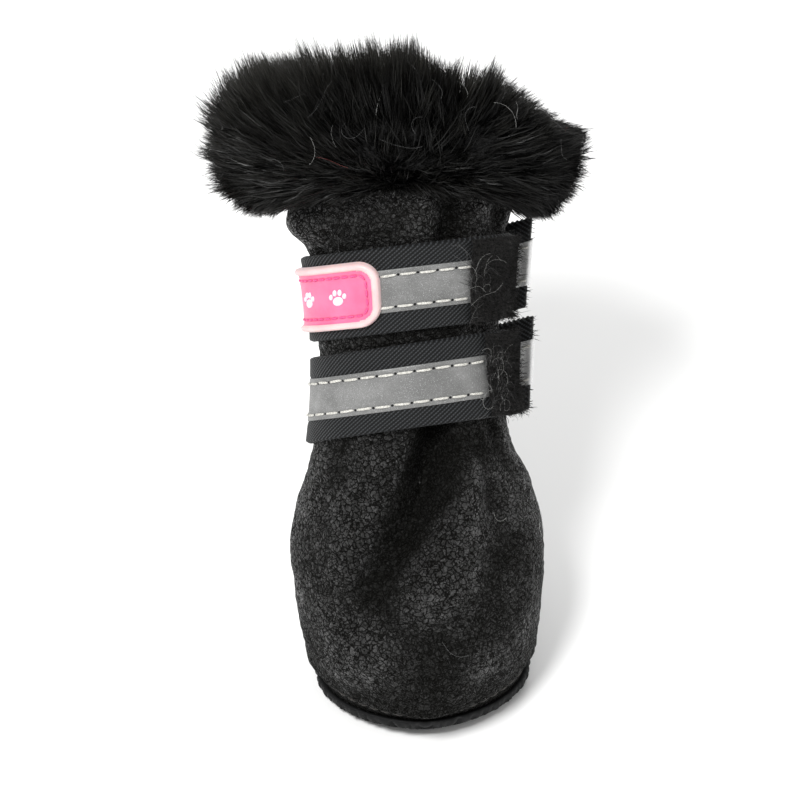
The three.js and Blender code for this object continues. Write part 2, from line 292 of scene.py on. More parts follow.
def tubes(name, centres, ups, wide, high, material, sides=8, twist=0.0):
    """Many closed tubes as one piece. centres and ups are (tube, ring, xyz). wide and high are half the
    width and half the height, as one number or as (tube, ring). twist swells a tube like plied thread."""
    count, rings = centres.shape[:2]
    run = unit(np.gradient(centres, axis=1))
    side = unit(np.cross(ups, run))
    up = np.cross(run, side)
    turn = np.arange(sides) * TURN / sides
    swell = 1 + twist * np.sin(2 * turn + np.arange(rings)[:, None] * TWIST_STEP)
    wide, high = (np.broadcast_to(half, (count, rings))[..., None] for half in (wide, high))
    across = (wide * np.cos(turn) * swell)[..., None]
    rise = (high * np.sin(turn) * swell)[..., None]
    body = centres[:, :, None] + side[:, :, None] * across + up[:, :, None] * rise
    faces, row, column = grid_faces(rings, sides, closed=True)
    first = np.arange(count)[:, None, None] * rings * sides
    ends = np.stack([np.arange(sides)[::-1], np.arange(sides) + (rings - 1) * sides])
    strand = np.linspace(0, STRAND_ROOM, count)
    u, v = arrays(strand[:, None, None] + STRAND_WIDTH * column / sides, row / (rings - 1))
    cap_u, cap_v = np.repeat(strand, 2 * sides), np.tile(np.repeat([0.0, 1.0], sides), count)
    uv = np.concatenate([np.stack([u, v], -1).reshape(-1, 2), np.stack([cap_u, cap_v], -1)])
    parts = [(faces + first).reshape(-1, 4), (ends + first).reshape(-1, sides)]
    mesh_piece(name, body.reshape(-1, 3), parts, uv, [material])


def ribbons(name, roots, bends, tips, width, shade, seed, material, parts=4, gloss_and_painted_light=None):
    """Many tapered flat hairs as one piece, each a curve from a root over a bend to its tip (mm). shade and
    gloss_and_painted_light are a number for each hair: the one is its place on the map, the other is kept
    with it and carries its gloss and painted light."""
    rng = np.random.default_rng(seed)
    count = len(roots)
    t = np.linspace(0, 1, parts + 1)[None, :, None]
    curve = roots[:, None] * (1 - t) ** 2 + bends[:, None] * 2 * t * (1 - t) + tips[:, None] * t**2
    side = unit(np.cross(tips - roots, rng.normal(size=(count, 3))))
    taper = 1 - t[:, :-1] ** HAIR_TAPER
    half = side[:, None] * taper * np.asarray(width).reshape(-1, 1, 1) / 2
    pairs = np.stack([curve[:, :-1] - half, curve[:, :-1] + half], 2).reshape(count, -1, 3)
    points = np.concatenate([pairs, curve[:, -1:]], 1)
    per_hair = 2 * parts + 1
    base = np.arange(count)[:, None] * per_hair
    quads = np.concatenate([base + [2 * k, 2 * k + 1, 2 * k + 3, 2 * k + 2] for k in range(parts - 1)])
    tris = base + [2 * parts - 2, 2 * parts - 1, 2 * parts]
    v = np.concatenate([np.repeat(t[0, :-1, 0], 2), [1.0]])
    edge = np.concatenate([np.tile([0.0, 1.0], parts), [0.5]])
    at = np.stack(arrays(shade[:, None] * STRAND_ROOM + STRAND_WIDTH * edge, v), -1).reshape(-1, 2)
    uv = at[np.concatenate([quads.ravel(), tris.ravel()])]
    piece = mesh_piece(name, points.reshape(-1, 3), [quads, tris], uv, [material])
    if gloss_and_painted_light is not None:
        keep_gloss_and_painted_light(piece, np.repeat(gloss_and_painted_light, per_hair))


# ---- Material nodes -----------------------------------------------------------------------------
class Graph:
    """A material's nodes. Each method adds a node or a few and returns the output."""

    def __init__(self, name, **shader):
        self.material = bpy.data.materials.new(name)
        self.material.use_nodes = True
        self.tree = self.material.node_tree
        self.shader = self.tree.nodes["Principled BSDF"]
        for socket, value in shader.items():
            self.set(socket.replace("_", " "), value)

    def put(self, socket, value):
        """Links or fills a socket. A single number for a colour is a grey."""
        if isinstance(value, bpy.types.NodeSocket):
            self.tree.links.new(value, socket)
        elif socket.type == "RGBA" and not hasattr(value, "__len__"):
            socket.default_value = (value, value, value, 1)
        elif socket.type == "RGBA":
            socket.default_value = (*value[:3], 1)
        else:
            socket.default_value = value

    def set(self, name, value):
        self.put(self.shader.inputs[name], value)

    def add(self, kind, inputs, **settings):
        node = self.tree.nodes.new("ShaderNode" + kind)
        for key, value in settings.items():
            setattr(node, key, value)
        for key, value in inputs.items():
            self.put(node.inputs[key], value)
        return node

    def vector(self, operation, inputs):
        return self.add("VectorMath", inputs, operation=operation).outputs[0]

    def place(self):
        """Object coordinates in millimetres."""
        return self.vector("SCALE", {0: self.add("TexCoord", {}).outputs["Object"], "Scale": 1 / MM})

    def map(self):
        """The two numbers of the piece's map."""
        split = self.add("SeparateXYZ", {0: self.add("UVMap", {}, uv_map=BAKE_MAP).outputs[0]})
        return split.outputs[0], split.outputs[1]

    def shift(self, vector, offset, amount):
        """vector moved by a noise colour, up to that many millimetres each way."""
        centred = self.vector("SUBTRACT", {0: offset, 1: (0.5, 0.5, 0.5)})
        return self.vector("ADD", {0: vector, 1: self.vector("SCALE", {0: centred, "Scale": 2 * amount})})

    def noise(self, vector, size, detail=2, out="Fac"):
        """Noise whose lumps are about that many of the vector's units across."""
        return self.add("TexNoise", {"Vector": vector, "Scale": 1 / size, "Detail": detail}).outputs[out]

    def cells(self, vector, size, feature="DISTANCE_TO_EDGE", out="Distance"):
        return self.add("TexVoronoi", {"Vector": vector, "Scale": 1 / size}, feature=feature).outputs[out]

    def bands(self, vector, size, direction, distortion):
        """Sine bands a size apart."""
        inputs = {"Vector": vector, "Scale": TURN / 20 / size, "Distortion": distortion}
        return self.add("TexWave", inputs, bands_direction=direction).outputs["Fac"]

    def attribute(self, name):
        """A number kept at each point of the piece."""
        return self.add("Attribute", {}, attribute_name=name, attribute_type="GEOMETRY").outputs["Fac"]

    def span(self, value, low, high, start=0.0, end=1.0):
        """value from low to high, eased to start to end."""
        inputs = {"Value": value, "From Min": low, "From Max": high, "To Min": start, "To Max": end}
        return self.add("MapRange", inputs, interpolation_type="SMOOTHSTEP").outputs[0]

    def math(self, operation, a, b):
        return self.add("Math", {0: a, 1: b}, operation=operation).outputs[0]

    def plus(self, a, b):
        return self.math("ADD", a, b)

    def minus(self, a, b):
        return self.math("SUBTRACT", a, b)

    def times(self, a, b):
        return self.math("MULTIPLY", a, b)

    def blend(self, factor, a, b):
        """A number between a and b."""
        return self.add("Mix", {0: factor, 2: a, 3: b}, data_type="FLOAT").outputs[0]

    def tint(self, factor, a, b):
        """A colour between a and b."""
        return self.add("Mix", {0: factor, 6: a, 7: b}, data_type="RGBA").outputs[2]

    def bump(self, height, distance, strength=1.0):
        """Relief up to that many millimetres deep."""
        made = self.add("Bump", {"Height": height, "Distance": distance * MM, "Strength": strength})
        self.set("Normal", made.outputs[0])
        return made.outputs[0]


def leather_material():
    """Black leather whose finish has crackled into pebbles: larger, paler and polished where it wears and
    where painted light is kept, darker and matt where painted shade is kept.
    """
    pebble, crack, between = 1.3, 0.72, 0.45  # sizes of the large and small cells and of the mottling
    g = Graph("crackled_leather", Coat_Roughness=0.34)
    p = g.place()
    warped = g.shift(g.shift(p, g.noise(p, 2.2, 2, "Color"), 1.0), g.noise(p, 0.55, 2, "Color"), 0.3)
    # The kept number is partly rubbing and partly painted light and shade: it pales and glosses the pebbles
    # on ridges and bright patches, and darkens them in creases, in matt patches and by the sole.
    gloss_and_painted_light = g.attribute(GLOSS_AND_PAINTED_LIGHT)
    worn_and_painted_light = g.span(g.plus(gloss_and_painted_light, g.minus(g.noise(p, 3.0, 3), 0.5)), 0.2, 0.8)
    large, small = g.cells(warped, pebble), g.cells(warped, crack)
    tone = g.add("SeparateColor", {0: g.cells(warped, pebble, "F1", "Color")}).outputs[0]
    # crackle is 0 in the cracks and 1 on the pebbles. The small cracks show only in places.
    shown = g.blend(g.span(g.noise(p, 1.3, 2), 0.38, 0.6), 0.3, 0.9)
    fine = g.minus(1.0, g.times(shown, g.span(small, 0.0, 0.15, 1.0, 0.0)))
    coarse = g.blend(g.blend(worn_and_painted_light, 0.6, 1.0), 1.0, g.span(large, 0.0, 0.14))
    crackle = g.times(g.blend(worn_and_painted_light, 0.7, 1.0), g.times(fine, coarse))
    mottle = g.span(g.noise(p, between, 3), 0.3, 0.7, 0.48, 1.0)
    polish_and_painted_light = g.times(g.span(gloss_and_painted_light, 0.0, 0.6, 0.27, 1.0), g.times(mottle, g.blend(tone, 0.32, 1.0)))
    top = g.tint(polish_and_painted_light, (0.0058, 0.0059, 0.0045), (0.036, 0.0357, 0.0354))
    g.set("Base Color", g.tint(crackle, (0.0042, 0.0041, 0.0035), top))
    g.set("Specular IOR Level", g.times(g.span(crackle, 0.1, 0.9, 0.1, 1.0), g.blend(polish_and_painted_light, 0.08, 1.0)))
    g.set("Roughness", g.blend(crackle, 0.8, g.span(mottle, 0.6, 1.0, 0.50, 0.34)))
    g.set("Coat Weight", g.times(g.span(crackle, 0.3, 0.9), g.blend(polish_and_painted_light, 0.0, 0.8)))
    domes = g.plus(g.span(large, 0.0, 0.5, 0.0, 1.1), g.span(small, 0.0, 0.45, 0.0, 0.5))
    g.set("Coat Normal", g.bump(g.plus(g.plus(crackle, domes), g.times(mottle, 0.6)), 0.6))
    return g.material


def fleece_material():
    g = Graph("fleece", Specular_IOR_Level=0.15, Sheen_Weight=0.06, Sheen_Roughness=0.5)
    p = g.place()
    curl = g.noise(g.shift(p, g.noise(p, 1.4, 2, "Color"), 0.9), 0.7, 4)
    g.set("Base Color", g.tint(g.span(curl, 0.35, 0.7), 0.003, (0.016, 0.016, 0.0165)))
    g.set("Roughness", g.span(curl, 0.3, 0.7, 0.95, 0.8))
    g.bump(curl, 0.9)
    return g.material


def fur_material():
    """Long acrylic pile with paler hairs here and there: painted shade at the root and painted light
    towards the tips. The kept number, painted light with a random tone, sets both its brightness and its
    gloss.
    """
    g = Graph("fur", Roughness=0.4)
    strand, reach = g.map()
    hair = g.add("CombineXYZ", {0: strand}).outputs[0]
    pale = g.span(g.noise(hair, 0.004, 1), 0.58, 0.7)
    tone = g.attribute(GLOSS_AND_PAINTED_LIGHT)
    # Painted shade at the roots and painted light at the tips, scaled by the kept painted light.
    lit = g.times(g.times(g.span(reach, 0.35, 1.0), g.blend(pale, 0.2, 1.0)), tone)
    g.set("Base Color", g.tint(lit, 0.0016, (0.092, 0.088, 0.072)))
    g.set("Specular IOR Level", g.blend(tone, 0.12, 0.45))
    return g.material


MAP_LENGTH, MAP_WIDTH = 150.0, 44.0  # millimetres that the binding's map spans, along it and round it


def binding_material():
    """Black twill: fine diagonal ribs with lighter threads, on the strap's own map."""
    g = Graph("twill_binding", Specular_IOR_Level=0.3, Sheen_Weight=0.05, Sheen_Roughness=0.4)
    u, v = g.map()
    flat = g.add("CombineXYZ", {0: g.times(u, MAP_LENGTH), 1: g.times(v, MAP_WIDTH)}).outputs[0]
    slanted = {"Vector": flat, "Angle": math.radians(52)}
    turned = g.add("VectorRotate", slanted, rotation_type="Z_AXIS").outputs[0]
    ribs, threads = g.bands(turned, 0.78, "X", 0.15), g.bands(turned, 0.62, "Y", 0.3)
    weave = g.times(g.span(ribs, 0.45, 0.9), g.span(threads, 0.05, 0.7, 0.35, 1.0))
    dust = g.span(g.noise(g.place(), 3.5, 3), 0.4, 0.75, 0.0, 0.15)
    colour = g.tint(weave, (0.0012, 0.0014, 0.0016), (0.044, 0.048, 0.052))
    g.set("Base Color", g.tint(dust, colour, (0.013, 0.014, 0.0155)))
    g.set("Roughness", g.blend(weave, 0.8, 0.55))
    g.bump(weave, 0.2)
    return g.material


def tape_material(name, dark, light, metallic):
    """Silver reflective tape full of glass beads, with painted glints of the beads and faint handling marks
    and creases.
    """
    g = Graph(name, Metallic=metallic, Specular_IOR_Level=0.5)
    p = g.place()
    beads = g.noise(p, 0.2, 2)
    stretched = g.vector("MULTIPLY", {0: p, 1: (0.5, 1, 1)})
    clouds = g.noise(stretched, 4.5, 4)
    # Painted glints: small bright spots where the beads would catch the light.
    painted_glints = g.span(g.noise(p, 0.13, 0), 0.66, 0.78)
    base = g.tint(g.span(clouds, 0.3, 0.75), dark, light)
    grainy = g.tint(g.span(beads, 0.35, 0.7, 0.0, 0.35), base, (0.12, 0.12, 0.118))
    g.set("Base Color", g.tint(g.times(painted_glints, 0.6), grainy, 0.72))
    g.set("Roughness", g.span(beads, 0.3, 0.7, 0.38, 0.55))
    g.bump(g.plus(beads, g.times(clouds, 0.8)), 0.08, 0.6)
    return g.material


def grained_material(
    name, dark, light, grain, roughness, relief,
    cloud=None, colour_span=(0.35, 0.65), rough_span=(0.3, 0.7), **shader,
):
    """A plain stuff between two colours. grain and cloud are the (size, detail) of its fine noise, which
    sets how rough it is, and of the noise that colours it. The spans say where in those noises the colour
    and the roughness change. relief is the bump's (depth, strength)."""
    g = Graph(name, **shader)
    p = g.place()
    fine = g.noise(p, *grain)
    colour = fine if cloud is None else g.noise(p, *cloud)
    g.set("Base Color", g.tint(g.span(colour, *colour_span), dark, light))
    g.set("Roughness", g.span(fine, *rough_span, *roughness))
    g.bump(fine, *relief)
    return g.material


def thread_material(name, dark, light, rough):
    """Twisted sewing thread."""
    return grained_material(
        name, dark, light, (0.22, 2), (rough - 0.1, rough), (0.12, 0.8), Specular_IOR_Level=0.35
    )


def pile_material(name, dark, light):
    """Short matt fibres of the loop pile and of the hook tape."""
    return grained_material(name, dark, light, (0.45, 3), (0.85, 0.6), (0.4, 1.0), Specular_IOR_Level=0.3)


def badge_material(name, dark, light, rough):
    """Soft moulded plastic of the badge: a fine mould grain and a slight unevenness of colour."""
    soft = {"Specular_IOR_Level": 0.5, "Subsurface_Weight": 0.12, "Subsurface_Scale": 0.0012}
    roughness = (rough - 0.06, rough + 0.08)
    return grained_material(name, dark, light, (0.3, 3), roughness, (0.03, 0.7), (5, 3), (0.3, 0.7), **soft)


LEATHER = leather_material()
FLEECE = fleece_material()
# Moulded rubber, matt, with a slight cloudy unevenness of colour over a fine grain.
RUBBER = grained_material(
    "sole_rubber", (0.0036, 0.0038, 0.0040), (0.0080, 0.0083, 0.0088), (0.22, 3), (0.5, 0.68), (0.06, 0.8),
    (9, 3), (0.35, 0.7), (0.35, 0.65), Specular_IOR_Level=0.2,
)
FUR = fur_material()
BINDING = binding_material()
TAPE = tape_material("reflective_tape", (0.155, 0.156, 0.153), (0.245, 0.246, 0.242), 0.12)
# The same tape where it folds round the tab's end, painted far paler and more metallic: a painted
# highlight.
FOLDED_TAPE_PAINTED_BRIGHT = tape_material("folded_tape_painted_highlight", (0.86, 0.86, 0.855), (0.95, 0.95, 0.945), 0.35)
CREAM_THREAD = thread_material("cream_thread", (0.42, 0.41, 0.37), (0.78, 0.77, 0.72), 0.75)
BLACK_THREAD = thread_material("black_thread", 0.003, 0.02, 0.75)
SEAM_THREAD = thread_material("seam_thread", (0.016, 0.014, 0.012), (0.070, 0.063, 0.056), 0.6)
PINK_THREAD = thread_material("pink_thread", (0.62, 0.07, 0.22), (0.85, 0.13, 0.34), 0.55)
NEEDLE_HOLE = thread_material("needle_hole", 0.002, 0.004, 0.9)
LOOP_PILE = pile_material("loop_pile", (0.0012, 0.0012, 0.0011), (0.021, 0.020, 0.019))
HOOK_TAPE = pile_material("hook_tape", (0.0015, 0.0017, 0.0017), (0.010, 0.012, 0.0115))
# The hooks are painted far paler than the tape they stand on: painted glints.
HOOK_WITH_PAINTED_GLINTS = pile_material("hooks", (0.02, 0.022, 0.021), (0.085, 0.09, 0.088))
PLATE = badge_material("badge_plate", (0.80, 0.135, 0.275), (0.885, 0.18, 0.335), 0.42)
RIM = badge_material("badge_rim", (0.74, 0.52, 0.52), (0.80, 0.60, 0.59), 0.45)
MOTIF = badge_material("badge_motif", (0.70, 0.66, 0.78), (0.82, 0.79, 0.87), 0.4)
WHITE_LINT = thread_material("white_lint", (0.32, 0.32, 0.31), (0.58, 0.58, 0.56), 0.6)
GREY_LINT = thread_material("grey_lint", 0.08, 0.2, 0.6)
RED_LINT = thread_material("red_lint", (0.20, 0.05, 0.05), (0.38, 0.12, 0.11), 0.6)


# ---- Leather ------------------------------------------------------------------------------------
# Troughs (depth above 0) and ridges pressed into the leather. Each follows points given as (degrees round
# the boot, station), and its depth fades to its end share.
CREASES = [
    # points, width, depth, end share
    # The trough down the vamp, its wide lower end and the ridge beside it
    ([(74, 76), (78, 67), (84, 58), (93, 49), (104, 41), (114, 33), (120, 26)], 3.9, 7.0, 0.10),
    ([(88, 60), (97, 50), (106, 42), (115, 33)], 6.5, 1.9, 0.4),
    ([(60, 60), (62, 53), (67, 46), (76, 39), (88, 31)], 4.6, -2.4, 0.4),
    ([(52, 53), (46, 42), (49, 32), (58, 22)], 4.2, 1.1, 0.5),
    ([(58, 74), (55, 64), (50, 54)], 2.6, 1.3, 0.3),
    ([(108, 68), (116, 57), (123, 47), (129, 37)], 4.6, -1.3, 0.4),
    ([(98, 76), (102, 68), (107, 60)], 2.0, 0.5, 0.2),
    ([(126, 76), (131, 68), (138, 58)], 2.4, 0.35, 0.2),
    ([(38, 75), (32, 64), (25, 51)], 2.6, 1.2, 0.2),
    ([(88, 22), (84, 15), (82, 9)], 5.0, 0.5, 0.5),
    ([(62, 146), (63, 128), (64, 108)], 4.0, 3.2, 0.8),  # in front, over the straps
    ([(76, 146), (78, 126), (80, 110)], 3.6, -0.9, 0.7),
    ([(112, 138), (108, 124), (104, 110)], 3.4, 1.3, 0.6),
    ([(140, 136), (146, 124), (150, 110)], 3.0, 1.1, 0.6),
    ([(30, 138), (26, 124), (24, 110)], 3.0, 1.2, 0.6),
    ([(298, 75), (309, 63), (322, 49), (338, 36), (350, 27)], 2.7, 2.8, 0.25),  # diagonally to the sole
    ([(306, 75), (320, 64), (336, 50)], 2.6, -1.3, 0.3),
    ([(243, 75), (231, 62), (217, 47), (203, 35)], 2.9, 2.1, 0.25),
    ([(234, 75), (222, 63), (208, 50)], 2.6, -1.0, 0.3),
    ([(262, 75), (262, 51), (265, 29), (268, 15)], 1.8, 1.9, 0.4),  # gathers over the heel
    ([(279, 75), (279, 51), (276, 29), (273, 15)], 1.8, 2.1, 0.4),
    ([(252, 75), (250, 56), (246, 42)], 2.0, 1.5, 0.3),
    ([(288, 75), (290, 56), (294, 42)], 2.0, 1.5, 0.3),
    ([(148, 118.5), (172, 120), (198, 119.5)], 4.5, -3.2, 0.9),  # the puff over the straps, badge side
    ([(250, 142), (252, 126), (254, 108)], 2.4, 1.3, 0.7),
    ([(292, 142), (290, 126), (288, 108)], 2.4, 1.4, 0.7),
]
CREASE_LIP = 0.22  # share of a crease's depth that stands up beside it
DEGREE = 0.44  # millimetres round the boot, near enough for the creases
# Patches of the finish as degrees round the boot, station, half size and strength. Above 0 a patch is paler
# and glossier, partly from rubbing and partly a painted highlight; below 0 it is matt and darker, a painted
# shade.
WORN_AND_PAINTED_PATCHES = [
    (108, 66, 5, 0.9), (115, 57, 5, 0.9), (122, 47, 5, 0.8), (72, 40, 7, 1.0), (82, 33, 5, 0.7),
    (122, 20, 7, 0.9), (132, 14, 5, 0.5), (58, 15, 7, 0.2), (45, 58, 4, 0.4), (40, 46, 5, 0.2),
    (64, 10, 5, 0.1), (150, 52, 7, 0.4), (88, 16, 12, -0.4), (48, 36, 6, -0.35), (64, 62, 10, -0.9),
    (28, 34, 12, -0.5), (40, 66, 7, -0.4), (98, 126, 5, 0.4), (75, 122, 4, 0.9), (50, 122, 5, 0.5),
    (130, 124, 5, 0.5), (150, 118, 5, 0.4), (215, 50, 8, 0.6), (325, 52, 8, 0.6), (250, 40, 7, 0.4),
    (290, 42, 7, 0.4), (270, 126, 6, 0.7), (300, 120, 6, 0.5),
]
# The level everywhere, the patches' strength, and how much a crease's depth darkens it and a ridge's height
# pales it: painted shade and light, along with less and more rubbing.
PLAIN_WEAR, PATCH_WEAR_AND_LIGHT, CREASE_WEAR_AND_SHADE = 0.42, 0.55, 0.15
BACK_SEAM, BACK_RADIUS = math.radians(270), 24
SEAM_GROOVE, SEAM_LIP = 0.9, 0.5
UNDER_STRAPS = 0.15  # the leather stands off the last by no more than this where the straps lie on it
WELT_STATION = 3.2  # of the stitches over the sole's rim
SUNK = GAP + 0.2  # the first ring sinks this far, into the rubber it is sewn to
LEATHER_COLUMNS, LEATHER_ROWS, LOW_ROWS, LOW_STATION = 340, 236, 24, 8
LINING_FOLLOWS = 0.8  # share of the leather's offset that shows inside too
FLUFF_HEIGHT, FLUFF_SIZE = 0.35, 1.6


def unrolled(angle, station):
    """The leather laid flat, in millimetres."""
    return np.stack([np.degrees(angle) % 360 * DEGREE, station], -1)


def crease_depth(angle, station):
    """How deep the creases press in at each place."""
    place = unrolled(angle, station)
    total = np.zeros(place.shape[:-1])
    for points, width, depth, fade in CREASES:
        line = np.array(points, float) * (DEGREE, 1)
        nearest = np.full(total.shape, np.inf)
        strength = np.zeros(total.shape)
        for k in range(len(line) - 1):
            step = line[k + 1] - line[k]
            t = np.clip(((place - line[k]) @ step) / (step @ step), 0, 1)
            away = np.linalg.norm(place - line[k] - t[..., None] * step, axis=-1)
            closer = away < nearest
            progress = (k + t) / (len(line) - 1)
            strength = np.where(closer, 1 + (fade - 1) * progress, strength)
            nearest = np.where(closer, away, nearest)
        profile = bell(nearest, width) - CREASE_LIP * bell(nearest - 1.9 * width, width)
        total += depth * strength * profile
    return total


def leather_wear_and_painted_light(angle, station):
    """How rubbed and how lit the finish is painted, from 0 to 1: up on ridges and in the bright patches,
    partly rubbing and partly painted light; down in a crease, in the matt patches and by the sole, partly
    less rubbing and partly painted shade.
    """
    place = unrolled(angle, station)
    # Painted shade in the creases and painted light on the ridges.
    gloss_and_painted_light = PLAIN_WEAR - CREASE_WEAR_AND_SHADE * crease_depth(angle, station)
    for degrees, up, size, strength in WORN_AND_PAINTED_PATCHES:
        away = np.linalg.norm(place - (degrees * DEGREE, up), axis=-1)
        gloss_and_painted_light += PATCH_WEAR_AND_LIGHT * strength * bell(away, size)
    gloss_and_painted_light += 0.22 * lumps(last(angle, station), 7, 8)
    # Matt and darker by the sole, where it is stretched smooth, with painted shade there.
    gloss_and_painted_light -= 0.7 * (1 - ease(station, 2, 8)) + 0.3 * (1 - ease(station, 6, 20))
    return np.clip(gloss_and_painted_light, 0, 1)


def leather_offset(angle, station):
    """How far the leather stands off the last: creases, seams and a soft unevenness."""
    place = last(angle, station)
    held = ease(station, 0, 5)
    offset = -crease_depth(angle, station) * ease(station, 2, 14)
    from_seam = np.abs(angle - BACK_SEAM) * BACK_RADIUS
    offset += (SEAM_LIP * bell(from_seam - 1.3, 0.8) - SEAM_GROOVE * bell(from_seam, 0.55)) * held
    offset += (0.55 * lumps(place, 11, 3) + 0.25 * lumps(place, 4.5, 4)) * held
    offset += 0.15 * lumps(place, 1.2, 5) * ease(station, 0, 2)
    # By the sole it is drawn in under the stitches, and swells over them.
    offset -= 0.75 * bell(station - WELT_STATION, 0.6) + 0.35 * (1 - ease(station, 1.5, 4))
    offset += 0.5 * bell(station - WELT_STATION - 2, 1.2)
    offset *= 1 - ease(station, SHAFT_TOP - 15, SHAFT_TOP - 10)  # flat where the fur is sewn on
    low, high = LOWER.station(angle, -1), UPPER.station(angle, 1)
    strapped = ease(station, low - 3.5, low - 0.8) * (1 - ease(station, high + 0.8, high + 3.5))
    return np.where(offset > UNDER_STRAPS, offset + (UNDER_STRAPS - offset) * strapped, offset)


def upper_pieces():
    angles = np.arange(LEATHER_COLUMNS) * TURN / LEATHER_COLUMNS
    rows = [np.linspace(0, LOW_STATION, LOW_ROWS), np.linspace(LOW_STATION, SHAFT_TOP, LEATHER_ROWS)[1:]]
    angle, station = np.meshgrid(angles, np.concatenate(rows))
    offset = leather_offset(angle, station)
    outer = skin(angle, station, offset)
    outer[0, :, 2] -= SUNK
    leather = grid_piece("leather", outer, [LEATHER], closed=True, replaces=["upper"])
    keep_gloss_and_painted_light(leather, leather_wear_and_painted_light(angle, station))
    # The lining follows the leather with every second row and column, and turns over the wall's top edge.
    angle, station, offset = (grid[::2, ::2] for grid in (angle, station, offset))
    fluff = FLUFF_HEIGHT * lumps(last(angle, station), FLUFF_SIZE, 6)
    inner = skin(angle, station, -WALL + LINING_FOLLOWS * offset + fluff)
    inner[0, :, 2] -= SUNK
    inner = np.concatenate([inner, skin(angle[-1:], SHAFT_TOP + 0.6, 0.3)])
    grid_piece("fleece_lining", inner, [FLEECE], closed=True, turned=True, replaces=["upper"])


def rim_stitches():
    """The thread that sews the leather to the sole, round the toe and sides."""
    pitch, length, bow, sunk = 3.0, 2.3, 0.12, 0.35
    walk = np.linspace(-0.25 * math.pi, 1.25 * math.pi, 2000)
    run = lengths_along(skin(walk, WELT_STATION, 0))
    starts = np.arange(0, run[-1] - pitch, pitch)
    t = np.linspace(0, 1, 7)
    at = np.interp(starts[:, None] + length * t, run, walk)
    centres = skin(at, WELT_STATION, bow * np.sin(math.pi * t) - sunk)
    wide, high = 0.30 - 0.12 * arch(t, 3), 0.24 - 0.12 * arch(t, 3)
    ups = outward(at, WELT_STATION)
    tubes("rim_stitches", centres, ups, wide, high, SEAM_THREAD, twist=0.15)


# ---- Sole ---------------------------------------------------------------------------------------
WEAVE = 3.0  # pitch of the moulded basket weave
TREAD_DEPTH = 0.95
# Level bars and upright posts: half the length before and after the soft end, then how far out the
# grooves beside them run and how wide those are.
BAR = (1.75, 2.25, 0.78, 0.24)
POST = (0.95, 1.4, 0.62, 0.22)
BAR_BOW, POST_GROOVE, POST_TOP, CROWN = 0.12, 0.85, 0.3, 0.18


def tread(x, y):
    """The basket weave's relief: 0 on the ground, 1 at the bottom of its grooves."""
    i, j = np.round(x / WEAVE), np.round(y / WEAVE)
    dx, dy = x - i * WEAVE, y - j * WEAVE

    def groove(lengthwise, sideways, shape):
        """A strip's end mask, and the two grooves along it."""
        full, ended, at, width = shape
        inside = 1 - ease(np.abs(lengthwise), full, ended)
        return inside, bell(np.abs(sideways) - at, width) * inside

    # A level bar bows a little and is shared by its neighbours, so each cell looks at both kinds.
    relief = np.zeros(np.shape(x))
    for step in (-1, 0, 1):
        near = dx - step * WEAVE
        bowed = dy + BAR_BOW * (near / 2.1) ** 2
        is_bar = (i + step + j) % 2 == 0
        relief = np.maximum(relief, np.where(is_bar, groove(near, bowed, BAR)[1], 0))
    for step in (-1, 0, 1):
        inside, sides = groove(dy - step * WEAVE, dx, POST)
        top = POST_TOP * inside * (1 - ease(np.abs(dx), 0.4, 0.7))
        is_post = (i + j + step) % 2 == 1
        relief = np.maximum(relief, np.where(is_post, np.maximum(POST_GROOVE * sides, top), 0))
    crown = CROWN * np.where((i + j) % 2 == 0, (dy / 0.8) ** 2, 0)
    return np.clip(np.maximum(relief, np.minimum(crown, 0.25)), 0, 1)


SOLE_COLUMNS, SOLE_ROWS = 390, 80
CENTRE = 0.004  # share at which the rings round the sole's middle end
NOTCH = 0.9  # how far the tread's grooves cut into the rim
# The sole's rim as (share, height): a rounded edge, up to a flat lip that the leather is sewn on.
RIM_EDGE = [(0.978, 0.05), (0.99, 0.3), (0.999, 0.8), (1.002, 1.4), (1.0, 2.0), (0.992, 2.5)]
LIP = [(share, SOLE_THICKNESS) for share in (0.975, 0.955, 0.9, 0.6, 0.3, CENTRE)]


def sole_piece():
    angles = np.arange(SOLE_COLUMNS) * TURN / SOLE_COLUMNS
    shares = np.concatenate([[CENTRE], np.linspace(0.02, SEAM_SHARE, SOLE_ROWS)])
    angle, share = np.meshgrid(angles, shares)
    bottom = sole_surface(angle, share, 0)
    relief = tread(bottom[..., 0], bottom[..., 1])
    bottom[..., 2] += TREAD_DEPTH * relief * (1 - ease(share, 0.93, SEAM_SHARE))
    rings = []
    for share, height in RIM_EDGE + LIP:
        ring = sole_surface(angles, np.full(len(angles), share), height)
        if share > 0.95:  # scalloped by the tread
            notch = NOTCH * tread(ring[:, 0], ring[:, 1]) * (1 - 0.75 * ease(height, 1.2, 2.6))
            inwards = unit(np.array([0, BALL, 0]) - ring) * (1, 1, 0)
            ring = ring + inwards * notch[:, None]
        rings.append(ring)
    points = np.concatenate([bottom, np.array(rings)])
    grid_piece("sole", points, [RUBBER], closed=True, turned=True, replaces=["outsole"])


# ---- Straps -------------------------------------------------------------------------------------
STRAP_LEAVES, STRAP_ENDS = math.radians(-68), math.radians(-10)
TAB_SPREAD, TAB_TWIST, TAB_CLIMB, TAB_SQUARE, TAB_RAKE = 0.002, 0.003, 0.17, 8.0, 1.5
TAPE_SIDE = 0.5  # half of the strap is tape
TAPE_LIFT = 0.14  # off the webbing
TAPE_TOP = STRAP_THICKNESS + TAPE_LIFT
TAPE_END = -TAB_LENGTH - 0.2
TAPE_TUCKED, TAPE_FOLDED = 1.5, 2.2  # under the loop pad, and back on the tab's inner face
PATH_POINTS = 1800
STITCH_SIDE = 0.37
HOOK_BASE = -HOOK_THICKNESS * 0.55


